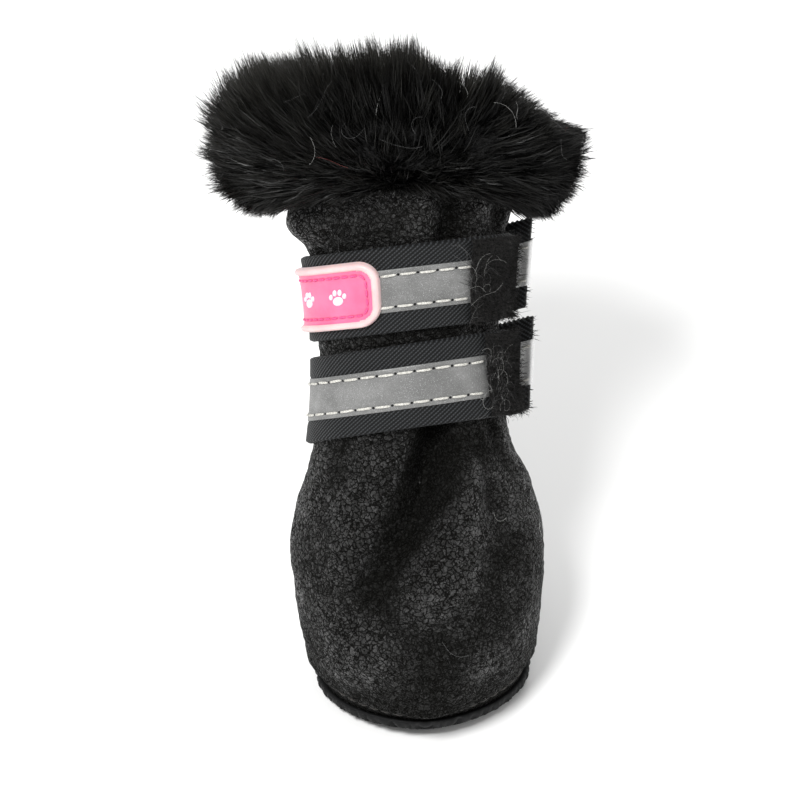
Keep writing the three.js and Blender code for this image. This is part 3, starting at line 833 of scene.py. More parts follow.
class Strap:
    """A strap's path by reach: below 0 on the free tab, above 0 round the shaft."""

    def __init__(self, name, middle, rise, loop_from):
        self.name, self.middle, self.rise = name, middle, rise
        self.angles = np.linspace(STRAP_LEAVES + TURN, STRAP_ENDS, PATH_POINTS)
        self.lengths = lengths_along(self.wrap(self.angles, 0.0, STRAP_THICKNESS))
        self.end = self.lengths[-1]
        self.loop_at = self.reach_of(loop_from)
        self.tab_run = along(STRAP_LEAVES, middle)
        self.tab_out = outward(STRAP_LEAVES, middle)

    def reach_of(self, degrees):
        return float(np.interp(-math.radians(degrees), -self.angles, self.lengths))

    def angle_of(self, reach):
        return np.interp(reach, self.lengths, self.angles)

    def station(self, angle, side):
        return self.middle + self.rise * last(angle, self.middle)[..., 0] + side * STRAP_WIDTH / 2

    def wrap(self, angle, side, distance):
        angle, side = arrays(angle, side)
        return skin(angle, self.station(angle, side), GAP + distance)

    def tab(self, reach, side, distance):
        foot = last(STRAP_LEAVES, self.station(STRAP_LEAVES, side))
        middle = last(STRAP_LEAVES, self.station(STRAP_LEAVES, 0.0))
        up = unit(last(STRAP_LEAVES, self.station(STRAP_LEAVES, 1.0)) - middle)
        slant = (foot - middle) @ self.tab_run
        straight = reach + (side * TAB_RAKE - slant) * ease(reach, 0, TAB_SQUARE)
        bend = reach**2 * (TAB_SPREAD + side * TAB_TWIST)
        climbed = foot + self.tab_run * straight[..., None] + up * TAB_CLIMB * reach[..., None]
        return climbed + self.tab_out * (GAP + distance + bend)[..., None]

    def point(self, reach, side, distance):
        """A point so far along the strap, across it and off the leather."""
        reach, side, distance = arrays(reach, side, distance)
        on_tab = self.tab(np.maximum(-reach, 0), side, distance)
        on_shaft = self.wrap(self.angle_of(np.maximum(reach, 0)), side, distance)
        share = ease(reach, -2.5, 1.5)[..., None]  # the one becomes the other over these 4 mm
        return on_tab * (1 - share) + on_shaft * share

    def up(self, reach, side):
        return unit(self.point(reach, side, 1.0) - self.point(reach, side, 0.0))

    def thread(self, kind, reach, side, distance, wide, high, material, facing=1.0, sides=8, twist=0.0):
        """Threads that lie along lines on the strap. facing is -1 for those on its inner face."""
        centres, ups = self.point(reach, side, distance), self.up(reach, side) * facing
        tubes(f"strap_{self.name}_{kind}", centres, ups, wide, high, material, sides, twist)


LOWER = Strap("lower", LOWER_MIDDLE, 0.11, 42)
UPPER = Strap("upper", LOWER_MIDDLE + STRAP_SPACING, 0.085, 52)


def spaced(start, end, step=0.7):
    return np.linspace(start, end, int((end - start) / step))


def rounding(away, start):
    """1 up to the start, and then down a quarter circle to 0 at 1."""
    return np.sqrt(1 - np.clip((away - start) / (1 - start), 0, 1) ** 2)


def binding_piece(strap):
    """The strap itself: a core folded into twill tape, thicker along both bound edges."""
    across = np.concatenate([np.linspace(-1, -0.9, 5), np.linspace(-0.8, 0.8, 21), np.linspace(0.9, 1, 5)])
    away = np.abs(across)
    core, folded, edge, under_edge = STRAP_THICKNESS - 0.2, 0.24, 0.45, 0.4
    fold = folded * ease(away, 0.5, 0.56) * (1 - 0.35 * ease(away, 0.6, 0.93))
    top = (core + fold) * (edge + (1 - edge) * rounding(away, 0.93))
    under_across = across[::-1][::2]
    under = STRAP_THICKNESS * under_edge * (1 - rounding(np.abs(under_across), 0.9))
    sides, heights = np.concatenate([across, under_across]), np.concatenate([top, under])
    spots = spaced(-TAB_LENGTH, strap.end)
    reach, side = np.meshgrid(spots, sides)
    height = heights[:, None] + 0 * reach
    points = strap.point(reach, side, height)
    wave = 0.16 * lumps(points, 6, 21) * (np.abs(side) > 0.5) * ease(height, 0.3, 1.2)
    points = points + strap.up(reach, side) * wave[..., None]
    # The faces close round the section, so the grid is taken on its side.
    rows, columns = reach.shape
    _, row, column = grid_faces(columns, rows, closed=True)
    index = (column % rows) * columns + row
    width = np.concatenate([sides * STRAP_WIDTH / 2, -sides[:1] * 3 - STRAP_WIDTH / 2])
    v = (width[column] + STRAP_WIDTH / 2) / MAP_WIDTH
    u = (spots[row] + TAB_LENGTH) / MAP_LENGTH
    caps = np.stack([np.arange(rows)[::-1] * columns, np.arange(rows) * columns + columns - 1])
    uv = np.concatenate([np.stack([u, v], -1).reshape(-1, 2), np.zeros((caps.size, 2))])
    name, replaced = f"strap_{strap.name}_binding", [f"strap_{strap.name}"]
    mesh_piece(name, points.reshape(-1, 3), [index, caps], uv, [BINDING], replaced)


def tape_path(strap):
    """The tape's middle line as (reach, distance) with its outward direction: round the shaft, along the
    tab, over its end and a little way back on the inner face."""
    places = [(reach, TAPE_TOP, 0.0, 1.0) for reach in spaced(TAPE_END, strap.loop_at + TAPE_TUCKED)[::-1]]
    middle, radius = STRAP_THICKNESS / 2, STRAP_THICKNESS / 2 + TAPE_LIFT
    for turn in np.linspace(0, math.pi, 9)[1:-1]:
        across, rise = math.sin(turn), math.cos(turn)
        places.append((TAPE_END - 0.5 * across, middle + radius * rise, -across, rise))
    inner = np.linspace(TAPE_END, TAPE_FOLDED - TAB_LENGTH, 7)
    return np.array(places + [(reach, -TAPE_LIFT, 0.0, -1.0) for reach in inner])


def tape_piece(strap):
    path = tape_path(strap)
    sides = TAPE_SIDE * np.concatenate([[-1.0, -0.99], np.linspace(-0.95, 0.95, 15), [0.99, 1.0]])
    edge = [-0.32, -0.05]  # the tape's cut edge turns down into the webbing
    drop = np.array(edge + [0.0] * 15 + edge[::-1])[:, None]
    reach, height = path[:, 0] + path[:, 2] * drop, path[:, 1] + path[:, 3] * drop
    side = sides[:, None] + 0 * reach
    points = strap.point(reach, side, height)
    ripple = 0.07 * lumps(points, 3.2, 31) + 0.10 * np.sin(reach * 2.4) * ease(-reach, 12, 20)
    points = points + strap.up(reach, side) * (ripple * path[:, 3] * (drop > -0.2))[..., None]
    # On the tab's end and inner face it takes the paler copy of the tape, a painted highlight.
    folded = (path[1:, 3] < 0.95) & (path[1:, 0] < 0)
    picks = np.tile(folded.astype(int), (len(sides) - 1, 1))
    grid_piece(f"strap_{strap.name}_tape", points, [TAPE, FOLDED_TAPE_PAINTED_BRIGHT], picks=picks)


def stitch_rows(strap):
    """Cream stitches along both edges of the tape, closer together towards the tab's end."""
    short, longer, staggered = 1.9, 2.4, 0.9
    half_width, half_height, tapered = 0.29, 0.2, 0.45
    starts = [-TAB_LENGTH + 1.0]
    while starts[-1] < strap.loop_at - 1.5:
        starts.append(starts[-1] + short + longer * ease(starts[-1], -TAB_LENGTH + 3, -6))
    pitches = np.diff(starts)[:, None]
    starts = np.array(starts)[:-1, None]
    t = np.linspace(0, 1, 9)
    rng = np.random.default_rng(41)
    rows, holes = [], []
    for side in (-STITCH_SIDE, STITCH_SIDE):
        hole = starts + (staggered if side > 0 else 0)
        wander = rng.normal(0, 0.008, hole.shape) + rng.normal(0, 0.006, hole.shape) * (2 * t - 1)
        lift = TAPE_TOP + 0.1 + 0.16 * np.sin(math.pi * t) ** 0.7
        rows.append(arrays(hole + pitches * (0.1 + 0.8 * t), side + wander, lift, 1.0))
        holes.append(arrays(hole, side))
    # Two more hold the folded end on the tab's inner face.
    for side in (-STITCH_SIDE, STITCH_SIDE):
        lift = -0.3 - 0.1 * np.sin(math.pi * t)
        rows.append(arrays(-TAB_LENGTH - 0.1 + 1.9 * t[None], side, lift, -1.0))
    reach, side, lift, facing = (np.concatenate(part) for part in zip(*rows))
    wide, high = (half * (1 - tapered * arch(t, 4)) for half in (half_width, half_height))
    strap.thread("stitches", reach, side, lift, wide, high, CREAM_THREAD, facing[..., None], twist=0.14)
    reach, side = (np.concatenate(part) for part in zip(*holes))
    t = np.linspace(-1, 1, 5)
    round_off = np.sqrt(1 - 0.97 * t**2)
    wide, high = 0.3 * round_off, 0.12 * round_off
    strap.thread("needle_holes", *arrays(reach + 0.33 * t, side), TAPE_TOP, wide, high, NEEDLE_HOLE)


def back_stitching(strap):
    """The black thread that sews each strap to the shaft's back seam, over the tape."""
    side = np.linspace(-0.62, 0.72, 60)[None]
    rng = np.random.default_rng(43)
    reach = strap.reach_of(276) + 0.18 * np.sin(side * 14) + 0.08 * rng.normal(size=side.shape)
    lift = np.where(np.abs(side) < TAPE_SIDE, TAPE_TOP, STRAP_THICKNESS) + 0.14
    wide = 0.36 + 0.08 * np.sin(side * 40)
    strap.thread("back_thread", reach, side, lift, wide, 0.26, BLACK_THREAD, twist=0.15)


def edge_stitches(strap):
    """Small black overcast stitches along the bound upper edge, by the back seam and on the tab."""
    starts = np.arange(-TAB_LENGTH + 1, 16, 1.05)[:, None]
    t = np.linspace(0, 1, 6)
    reach, side = arrays(starts + 0.55 * t, 0.93 + 0.075 * np.sin(math.pi * t))
    lift = STRAP_THICKNESS - 0.45 - 0.9 * (t - 0.5)
    strap.thread("edge_stitches", reach, side, lift, 0.2, 0.2, BLACK_THREAD, sides=6)


def frayed_end(strap, seed):
    """Loose black threads where the tab was cut."""
    rng = np.random.default_rng(seed)
    count, thread_width = 70, 0.22
    edge = rng.uniform(-1, 1, count)
    edge = np.where(np.abs(edge) < 0.45, np.sign(edge) * (0.5 + np.abs(edge)), edge)  # not on the tape
    height = rng.uniform(0.1, STRAP_THICKNESS, count)
    root = strap.point(-TAB_LENGTH + 0.6, edge, height)
    reach = rng.gamma(2.0, 0.28, count)[:, None]
    bend = root + strap.tab_run * (0.5 + 0.6 * reach) + rng.normal(0, 0.25, (count, 3))
    outwards = strap.tab_out * rng.normal(0, 0.6, (count, 1))
    tip = bend + (strap.tab_run * 0.5 + outwards + rng.normal(0, 0.45, (count, 3))) * reach
    name, shade = f"strap_{strap.name}_frayed_end", rng.uniform(0, 1, count)
    ribbons(name, root, bend, tip, thread_width, shade, seed, BLACK_THREAD)


def loop_pad(strap, seed):
    """Black loop pile with curled fibres standing on it."""
    pad, count, hair_width = f"loop_pad_{strap.name}", 4200, 0.11
    foot, tall, half, rough = STRAP_THICKNESS - 0.1, LOOP_THICKNESS - 0.1, 0.97, 0.28
    reach, side = np.meshgrid(spaced(strap.loop_at, strap.end + 0.6, 0.5), np.linspace(-half, half, 41))
    edge = 1 - ease(np.abs(side), half * 0.93, half)
    bumps = rough * lumps(strap.point(reach, side, foot + tall), 0.9, seed)
    outer = strap.point(reach, side, foot + tall * (0.4 + 0.6 * edge) + bumps * edge)
    inner = strap.point(reach, side, foot)
    points = np.concatenate([inner[:1], outer, inner[-1:]])
    grid_piece(f"{pad}_base", points, [LOOP_PILE], replaces=[pad])
    rng = np.random.default_rng(seed)
    at = rng.uniform(strap.loop_at - 0.2, strap.end + 0.4, count)
    across = rng.uniform(-0.98, 0.98, count)
    root, out = strap.point(at, across, foot + 0.8), strap.up(at, across)
    lean = rng.normal(0, 0.75, (count, 3))
    height = rng.gamma(3.0, 0.28, count)[:, None]
    bend, tip = root + out * (0.7 + height) * 1.1 + lean, root + out * (0.1 + 0.7 * height) + 1.5 * lean
    shade = rng.uniform(0, 1, count)
    ribbons(f"{pad}_pile", root, bend, tip, hair_width, shade, seed, LOOP_PILE, parts=3)


def hook_pad(strap, seed):
    """The hook tape on the tab's inner face, with its rows of small hooks."""
    pad, half = f"hook_pad_{strap.name}", 0.9
    row_pitch, hook_pitch, radius, height, bent = 0.095, 0.85, 0.085, 0.5, 0.26
    spots = -np.linspace(HOOK_FROM, TAB_LENGTH - 2.9, 24)[::-1]
    reach, side = np.meshgrid(spots, np.linspace(-half, half, 25))
    face, back = strap.point(reach, side, HOOK_BASE), strap.point(reach, side, 0.1)
    points = np.concatenate([back[:1], face, back[-1:]])
    grid_piece(f"{pad}_base", points, [HOOK_TAPE], turned=True, replaces=[pad])
    rng = np.random.default_rng(seed)
    columns = -np.arange(HOOK_FROM + 0.4, TAB_LENGTH - 3.1, hook_pitch)
    row, column = (grid.reshape(-1, 1) for grid in np.meshgrid(np.arange(-0.86, 0.87, row_pitch), columns))
    row, column = row + rng.normal(0, 0.008, row.shape), column + rng.normal(0, 0.06, row.shape)
    turn = np.linspace(0, 1.45 * math.pi, 7)
    lift = HOOK_BASE - height * np.sin(turn * 0.55)
    centres = strap.point(column + bent * (1 - np.cos(turn * 0.75)), row, lift)
    ups = strap.tab_run + 0.01 + 0 * centres
    tubes(f"{pad}_hooks", centres, ups, radius, radius, HOOK_WITH_PAINTED_GLINTS, sides=5)


# ---- Badge --------------------------------------------------------------------------------------
BADGE_FRONT = 105  # degrees round the boot
PLATE_HEIGHT = 1.0
RIM_WIDTH = 1.9
INSET = 3.0  # of the stitches and their groove, from the badge's edge
HALF_LENGTH, HALF_HEIGHT = BADGE_LENGTH / 2, BADGE_HEIGHT / 2
BADGE_COLUMNS, BADGE_ROWS = 170, 74


def badge_height(inside):
    """The badge's height that far in from its edge: a round rim, then the plate with its stitch groove."""
    rim = np.sqrt(np.clip(1 - (inside * 2 / RIM_WIDTH - 1) ** 2, 0, 1))
    plate = PLATE_HEIGHT * ease(inside, 0, 0.3)
    groove = 0.22 * bell(inside - INSET, 0.34)
    return np.maximum(rim**0.7 * BADGE_THICKNESS, plate * (inside > 0.5)) - groove


def badge_inside(lengthwise, across):
    """Distance in from the rounded rectangle's edge."""
    dx = np.abs(lengthwise) - (HALF_LENGTH - BADGE_CORNER)
    dy = np.abs(across) - (HALF_HEIGHT - BADGE_CORNER)
    outside = np.hypot(np.maximum(dx, 0), np.maximum(dy, 0))
    return BADGE_CORNER - outside - np.minimum(np.maximum(dx, dy), 0)


def badge_point(strap, lengthwise, across, height):
    """A point on the badge, from its middle: along it towards the back, across it upwards."""
    reach = strap.reach_of(BADGE_FRONT) - HALF_LENGTH - lengthwise
    return strap.point(reach, across * 2 / STRAP_WIDTH, STRAP_THICKNESS + 0.1 + height)


def badge_plate(strap):
    columns = np.linspace(-HALF_LENGTH, HALF_LENGTH, BADGE_COLUMNS)
    from_end = np.minimum(HALF_LENGTH - np.abs(columns), BADGE_CORNER)
    cut = BADGE_CORNER - np.sqrt(np.clip(BADGE_CORNER**2 - (BADGE_CORNER - from_end) ** 2, 0, None))
    across, lengthwise = arrays(np.linspace(-1, 1, BADGE_ROWS)[:, None] * (HALF_HEIGHT - cut), columns)
    inside = badge_inside(lengthwise, across)
    points = badge_point(strap, lengthwise, across, badge_height(inside))
    picks = ((inside[:-1, :-1] + inside[1:, 1:]) / 2 < RIM_WIDTH - 0.1).astype(int)
    stuffs = [PLATE, RIM]
    grid_piece("badge_plate", points, stuffs, turned=True, replaces=["badge"], picks=picks)


def badge_stitches(strap):
    """The stitches that sew the badge down, round its groove."""
    count, corner = 38, BADGE_CORNER - INSET
    turns = np.linspace(0, TURN, 1200)

    def side(half, wave):
        return (half - INSET - corner) * np.sign(wave) + corner * wave

    line = np.stack([side(HALF_LENGTH, np.cos(turns)), side(HALF_HEIGHT, np.sin(turns))], -1)
    run = lengths_along(line)
    t = np.linspace(0, 1, 7)
    at = (np.arange(count)[:, None] + 0.12 + 0.76 * t) * run[-1] / count
    x, y = (np.interp(at, run, line[:, k]) for k in (0, 1))
    centres = badge_point(strap, x, y, PLATE_HEIGHT - 0.08 + 0.1 * np.sin(math.pi * t))
    ups = unit(centres - badge_point(strap, x, y, 0.0))
    wide = 0.26 - 0.1 * arch(t, 3)
    tubes("badge_stitches", centres, ups, wide, 0.2, PINK_THREAD, twist=0.12)


# A plain paw print: (along, across, half length, half width) of each pad, in millimetres.
PAW = [
    (0.0, -0.75, 1.35, 1.1), (-1.75, 0.35, 0.5, 0.7), (-0.65, 1.25, 0.52, 0.78),
    (0.65, 1.25, 0.52, 0.78), (1.75, 0.35, 0.5, 0.7),
]
PAW_PLACES = (-9.5, 0.0, 9.5)
PAW_FOOT, PAW_RISE = PLATE_HEIGHT - 0.1, 0.55


def paw_prints(strap):
    rings, sides = 7, 20
    t = np.linspace(0, 1, rings)[:, None] * math.pi / 2
    turn = np.arange(sides) * TURN / sides
    points = []
    for place, (x, y, half_x, half_y) in itertools.product(PAW_PLACES, PAW):
        lengthwise = place + x + half_x * np.sin(t) * np.cos(turn)
        across = y + half_y * np.sin(t) * np.sin(turn)
        height = PAW_FOOT + PAW_RISE * np.cos(t) ** 0.6
        points.append(badge_point(strap, lengthwise, across, height))
    faces, row, column = grid_faces(rings, sides, closed=True)
    first = (np.arange(len(points)) * rings * sides)[:, None, None]
    uv = np.tile(np.stack([column / sides, row / (rings - 1)], -1).reshape(-1, 2), (len(points), 1))
    points, faces = np.array(points).reshape(-1, 3), (faces + first).reshape(-1, 4)
    mesh_piece("badge_paws", points, [faces], uv, [MOTIF])


# ---- Fur ----------------------------------------------------------------------------------------
FUR_PARTINGS = [(math.radians(62), 0.22, 0.28), (math.radians(294), 0.3, 0.3)]  # where, depth, width
TAB_SIDE, FLATTENED, FLAT_WIDTH = math.radians(-2), 0.75, math.radians(64)
SIDE_HANG, TAB_DROP = 0.12, 3.7
FUR_SECTION = np.array(
    [(0.3, -13), (5, -16.5), (10.5, -15), (14, -7.5), (15.2, 0), (13.5, 6.5), (9, 11.5), (3, 13.5),
     (-2, 12.5), (-4.5, 8), (-4, 3), (-2.6, 0.3)]
)
# Where the pile is rooted on its backing and where it points, from the outer seam over the top to
# inside. In front and behind it is combed upwards, and at the sides it stands out.
PILE = np.array(
    [
        # share root out, rise  front tip out, rise  side tip out, rise
        (0.00, 0.9, -12.5, 3.0, -15.0, 5.0, -15.0),
        (0.10, 1.0, -11.5, 6.5, -13.0, 10.0, -14.0),
        (0.25, 1.2, -9.0, 10.5, -5.0, 15.0, -9.5),
        (0.40, 1.4, -5.0, 12.0, 4.5, 17.0, -3.5),
        (0.55, 1.4, -1.5, 10.5, 12.5, 16.5, 4.5),
        (0.70, 1.0, 0.8, 7.0, 17.5, 12.0, 12.0),
        (0.82, 0.0, 1.8, 3.0, 19.0, 6.0, 16.0),
        (0.92, -1.2, 1.6, -2.0, 17.5, -1.0, 15.0),
        (1.00, -2.4, 1.0, -5.5, 10.0, -5.5, 9.5),
    ]
)
SWEEP = 0.2  # radians that the front and back pile leans towards the sides
LOW_SWEEP = 0.34  # and as much more along the lower seam
PARTED = 0.17  # and away from a parting
TAB_SIDE_SHORT = 0.16  # share of its length that the pile has lost above the tabs
HAIR_WIDTH = 0.3
CORE_SHARE, CORE_FOOT = 0.5, (0.2, -11)  # the underfur's size within the section, and its lowest point
CORE_COLUMNS, CORE_ROWS = 220, 70
SIDES_ONLY = 0.14  # share of its depth that the fur lacks in front and behind
FUR_LAYERS = [
    # name, seed, hairs, shares of the section, clumps, length, share of stray hairs
    ("fur_fringe", 61, 20000, (0.0, 0.3), 800, 1.0, 0.04),
    ("fur_outer", 62, 30000, (0.25, 0.6), 1100, 1.02, 0.03),
    ("fur_crown", 63, 30000, (0.5, 0.85), 1100, 1.02, 0.03),
    ("fur_mouth", 64, 9000, (0.8, 1.0), 300, 0.95, 0.04),
]


def turned_from(angle, at):
    """How far one angle is turned from another, the short way round."""
    return (angle - at + 3 * math.pi) % TURN - math.pi


def beside(angle, at, width):
    """1 at one angle, eased to 0 that far from it."""
    return 1 - ease(np.abs(turned_from(angle, at)), 0, width)


def fur_height(angle):
    """How much of the pile's height is left: it falls away beside each parting and on the tab side."""
    left = 1 - FLATTENED * beside(angle, TAB_SIDE, FLAT_WIDTH)
    for at, depth, width in FUR_PARTINGS:
        left = left * (1 - depth * beside(angle, at, width))
    return left


def fur_point(angle, out, rise):
    angle, out, rise = arrays(angle, out, rise)
    depth = np.where(out > GAP, 1 - SIDES_ONLY * np.sin(angle) ** 2, 1)
    outer = ease(out, GAP, 5)
    hang = 1 + SIDE_HANG * np.cos(angle) ** 2 * outer
    drop = TAB_DROP * np.maximum(0, np.cos(angle)) ** 2 * outer
    return skin(angle, SHAFT_TOP + rise * np.where(rise > GAP, fur_height(angle), hang) - drop, out * depth)


def fur_core():
    """The dense underfur that closes the collar below the loose hairs."""
    angles = np.arange(CORE_COLUMNS) * TURN / CORE_COLUMNS
    middle = np.array([2.5, 0.0])
    shrunk = middle + (FUR_SECTION - middle) * CORE_SHARE
    shrunk[0] = CORE_FOOT
    section = np.concatenate([shrunk, shrunk[:1]])
    t = np.linspace(0, len(section) - 1, CORE_ROWS)
    out, rise = (np.interp(t, np.arange(len(section)), section[:, k])[:, None] for k in (0, 1))
    points = fur_point(angles, out, rise)
    normals = unit(points - fur_point(angles, middle[0], middle[1]) + 1e-6)
    points = points + normals * (0.8 * lumps(points, 2.2, 51))[..., None]
    grid_piece("fur_underlayer", points, [FLEECE], closed=True, turned=True, replaces=["fur_collar"])


def pile_root(share):
    """Where the pile is rooted, out and rise."""
    return [np.interp(share, PILE[:, 0], PILE[:, k]) for k in (1, 2)]


def pile_tip(share, angle):
    """Where the pile's tips lie, out and rise, between the front's and the sides' table."""
    front = np.sin(angle) ** 2
    columns = [np.interp(share, PILE[:, 0], PILE[:, k]) for k in (3, 4, 5, 6)]
    return columns[0] * front + columns[2] * (1 - front), columns[1] * front + columns[3] * (1 - front)


def fur_hairs(name, seed, count, shares, clumps, reach, loose):
    """A layer of pile between two shares of the section. Hairs gather into clumps, and lie away from the
    partings. reach is the mean length as a share of the pile's, and loose the share of stray hairs."""
    rng = np.random.default_rng(seed)
    clump_angle = rng.uniform(0, TURN, clumps)
    clump_share = rng.uniform(*shares, clumps)
    clump_lean = np.radians(rng.normal(0, 6, clumps))
    clump_roll = rng.normal(0, 0.045, clumps)
    clump_reach = rng.normal(1, 0.1, clumps)
    pick = rng.integers(0, clumps, count)
    angle = clump_angle[pick] + rng.normal(0, math.radians(2.4), count)
    share = np.clip(clump_share[pick] + rng.normal(0, 0.035, count), 0, 1)
    stray = rng.uniform(size=count) < loose
    # How far each tip is pulled to its clump's, and how it leans and is swept aside.
    pull = np.where(stray, 0.1, rng.uniform(0.66, 0.95, count))
    tip_angle = angle * (1 - pull) + clump_angle[pick] * pull + clump_lean[pick]
    tip_angle += np.radians(rng.normal(0, 0.8, count) + stray * rng.normal(0, 10, count))
    swept = SWEEP + LOW_SWEEP * (1 - ease(share, 0.1, 0.55))
    tip_angle += swept * np.sin(2 * angle - math.pi)
    for at, _, width in FUR_PARTINGS:
        tip_angle += PARTED * np.sign(turned_from(angle, at)) * beside(angle, at, 1.6 * width)
    tip_share = share * (1 - pull) + clump_share[pick] * pull + clump_roll[pick]
    tip_share += rng.normal(0, 0.012, count) + stray * rng.normal(0, 0.08, count)
    tip_share = np.clip(tip_share, 0, 1)
    root_out, root_rise = pile_root(share)
    tip_out, tip_rise = pile_tip(tip_share, angle)
    length = reach * clump_reach[pick] * rng.normal(1, 0.08, count) * np.where(stray, 1.06, 1)
    length *= 1 - TAB_SIDE_SHORT * np.maximum(0, np.cos(angle)) ** 2
    long_out, long_rise = (tip_out - root_out) * length, (tip_rise - root_rise) * length
    roots = fur_point(angle, root_out, root_rise)
    tips = fur_point(tip_angle, root_out + long_out, root_rise + long_rise)
    # A hair leaves its backing outwards and then turns to lie along the pile.
    bend_out = root_out + long_out * rng.uniform(0.55, 0.95, count)
    bends = fur_point(angle + (tip_angle - angle) * 0.4, bend_out, root_rise + long_rise * 0.35)
    bends += rng.normal(0, 0.5, (count, 3))
    clump_shade = rng.uniform(0.02, 0.98, clumps)
    shade = np.where(rng.uniform(size=count) < 0.8, clump_shade[pick], rng.uniform(0, 1, count))
    # Painted light: paler and glossier on the badge side, where the lamps shine from, and paler along the
    # crown as if lit through the tips; each clump and hair also gets a random tone.
    tone = 0.155 + 0.29 * np.maximum(0, -np.cos(angle)) + 0.7 * ease(share, 0.6, 0.8)
    tone = np.clip(tone + rng.normal(0, 0.12, clumps)[pick] + rng.normal(0, 0.1, count), 0.03, 1)
    thick = HAIR_WIDTH * rng.uniform(0.7, 1.3, count)
    ribbons(name, roots, bends, tips, thick, shade, seed, FUR, parts=3, gloss_and_painted_light=tone)


# ---- Lint ---------------------------------------------------------------------------------------
LINT = {"white_lint": WHITE_LINT, "grey_lint": GREY_LINT, "red_lint": RED_LINT}
# Shortest and longest, curl and radius of the fibres on each
ON_FUR, ON_LEATHER, ON_PADS = ((4, 10), 0.06, 0.017), ((4, 10), 0.08, 0.024), ((4, 10), 0.11, 0.021)


def curled_fibre(rng, start, normal, length, curl, toward=None):
    """A stray fibre lying near a surface: a walk that turns smoothly, at first toward a direction."""
    steps = 22
    heading = rng.uniform(0, TURN) if toward is None else rng.normal(0, 0.6)
    sideways = rng.normal(size=3) if toward is None else np.cross(toward, normal)
    first = unit(np.cross(normal, sideways))
    second = np.cross(normal, first)
    bend = rng.normal(0, curl)
    points = [start]
    for _ in range(steps):
        bend += rng.normal(0, curl * 0.35)
        heading += bend
        step = first * math.cos(heading) + second * math.sin(heading)
        points.append(points[-1] + step * length / steps)
    return np.array(points)


def lint_pieces():
    """Pale fibres that cling to the fur, the leather and the loop pads."""
    rng = np.random.default_rng(71)
    fibres = {kind: [] for kind in LINT}

    def drop(kind, start, normal, shape, toward=None):
        lengths, curl, radius = shape
        fibre = curled_fibre(rng, start, normal, rng.uniform(*lengths), curl, toward)
        fibres[kind].append((fibre, normal, radius))

    for k in range(36):  # on the fur
        angle = rng.uniform(math.radians(15), math.radians(165)) if k < 26 else rng.uniform(math.pi, TURN)
        out, rise = pile_tip(rng.uniform(0.3, 0.8), angle)
        start = fur_point(angle, 0.97 * out + 0.5, 0.97 * rise)
        normal = unit(start - fur_point(angle, 1.0, 0.0))
        kind = "red_lint" if k in (2, 7) else ("white_lint" if k % 5 == 0 else "grey_lint")
        drop(kind, start, normal, ON_FUR)
    for k in range(22):  # on the foot and above the straps
        angle = rng.uniform(0, TURN)
        station = rng.uniform(14, 50) if k < 15 else rng.uniform(100, 116)
        offset = leather_offset(np.array([angle]), np.array([station]))
        start, normal = skin(angle, station, offset[0] + 0.35), outward(angle, station)
        drop("white_lint" if k % 4 == 1 else "grey_lint", start, normal, ON_LEATHER)
    for strap, count in ((LOWER, 38), (UPPER, 22)):  # caught where the tape meets the pile
        for _ in range(count):
            reach = strap.loop_at + rng.normal(1.4, 1.6)
            side = rng.uniform(-0.9, 0.5)
            start = strap.point(reach, side, STRAP_THICKNESS + LOOP_THICKNESS + 0.5)
            kind = "white_lint" if rng.uniform() < 0.35 else "grey_lint"
            upwards = strap.point(reach, side + 0.1, 1.0) - strap.point(reach, side, 1.0)
            drop(kind, start, strap.up(reach, side), ON_PADS, upwards)
    for kind, found in fibres.items():
        centres, normals, radii = (np.array(part) for part in zip(*found))
        ups, radii = normals[:, None] + 0 * centres, radii[:, None]
        tubes(kind, centres, ups, radii, radii, LINT[kind], sides=5)


# ---- Stage, light and camera --------------------------------------------------------------------
def floor():
    g = Graph("floor", Roughness=0.9, Specular_IOR_Level=0.1)
    g.set("Base Color", (0.93, 0.93, 0.925))
    half = 3.0
    corners = [(-half, -half, 0), (half, -half, 0), (half, half, 0), (-half, half, 0)]
    mesh = bpy.data.meshes.new("floor")
    mesh.from_pydata(corners, [], [(0, 1, 2, 3)])
    mesh.materials.append(g.material)
    made = link("floor", mesh)


def area_light(name, place, size, power):
    data = bpy.data.lights.new(name, "AREA")
    data.shape, data.size, data.energy = "DISK", size, power
    made = link(name, data)
    made.location = place
    made.rotation_euler = (Vector(LIT) - Vector(place)).to_track_quat("-Z", "Y").to_euler()


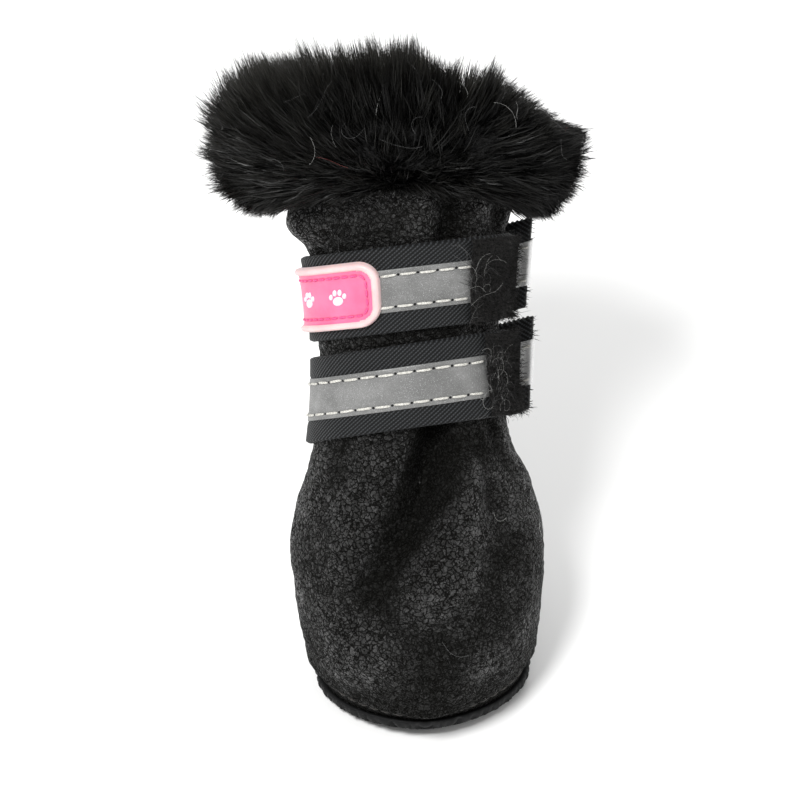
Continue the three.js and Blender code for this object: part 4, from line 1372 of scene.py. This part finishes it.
VIEW_ELEVATION = math.radians(44)
VIEW_ROLL = math.radians(2.5)  # the boot leans to the left
VIEW_FILL = 0.83  # share of the frame's height that the CAD model takes
VIEW_DISTANCE = 1.2
SENSOR = 36.0
LIT = (0, 0.02, 0.06)  # the point that the lights face, in metres
LIGHTS = [
    # name, place, size, watts
    ("key", (-0.4, -0.5, 1.2), 0.45, 17),
    ("fill", (0.9, -0.5, 0.8), 0.9, 1.6),
    ("top", (0.2, 0.8, 1.2), 0.8, 10),
]
SKY = 0.45  # strength of the white surroundings


def camera():
    """A long lens from in front and above, framed on the CAD nodes."""
    back = Vector((0, -math.cos(VIEW_ELEVATION), math.sin(VIEW_ELEVATION)))
    level_up = Vector((0, math.sin(VIEW_ELEVATION), math.cos(VIEW_ELEVATION)))
    right = Vector((1, 0, 0)) * math.cos(VIEW_ROLL) - level_up * math.sin(VIEW_ROLL)
    up = back.cross(right)
    corners = np.array([v.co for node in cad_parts.values() for v in node.data.vertices])
    x, y, depth = (corners @ np.array(axis) for axis in (right, up, back))
    middle = [(values.min() + values.max()) / 2 for values in (x, y, depth)]
    target = right * middle[0] + up * middle[1] + back * middle[2]
    data = bpy.data.cameras.new("camera")
    data.sensor_width = SENSOR
    data.lens = SENSOR * VIEW_DISTANCE * VIEW_FILL / (y.max() - y.min())
    made = link("camera", data)
    axes = Matrix((right, up, back)).transposed()
    made.matrix_world = Matrix.Translation(target + back * VIEW_DISTANCE) @ axes.to_4x4()
    bpy.context.scene.camera = made


def studio():
    world = bpy.data.worlds.new("studio")
    world.use_nodes = True
    background = world.node_tree.nodes["Background"]
    background.inputs["Color"].default_value = (1, 1, 1, 1)
    background.inputs["Strength"].default_value = SKY
    bpy.context.scene.world = world
    for light in LIGHTS:
        area_light(*light)
    bpy.context.scene.view_settings.view_transform = "Standard"


# ---- Assembly -----------------------------------------------------------------------------------
camera()
upper_pieces()
rim_stitches()
sole_piece()
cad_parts["insole"].data.materials.clear()
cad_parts["insole"].data.materials.append(FLEECE)
for number, strap in enumerate((LOWER, UPPER)):
    for build in (binding_piece, tape_piece, stitch_rows, back_stitching, edge_stitches):
        build(strap)
    frayed_end(strap, seed=80 + number)
    loop_pad(strap, seed=90 + number)
    hook_pad(strap, seed=100 + number)
badge_plate(UPPER)
badge_stitches(UPPER)
paw_prints(UPPER)
fur_core()
for layer in FUR_LAYERS:
    fur_hairs(*layer)
lint_pieces()
floor()
studio()
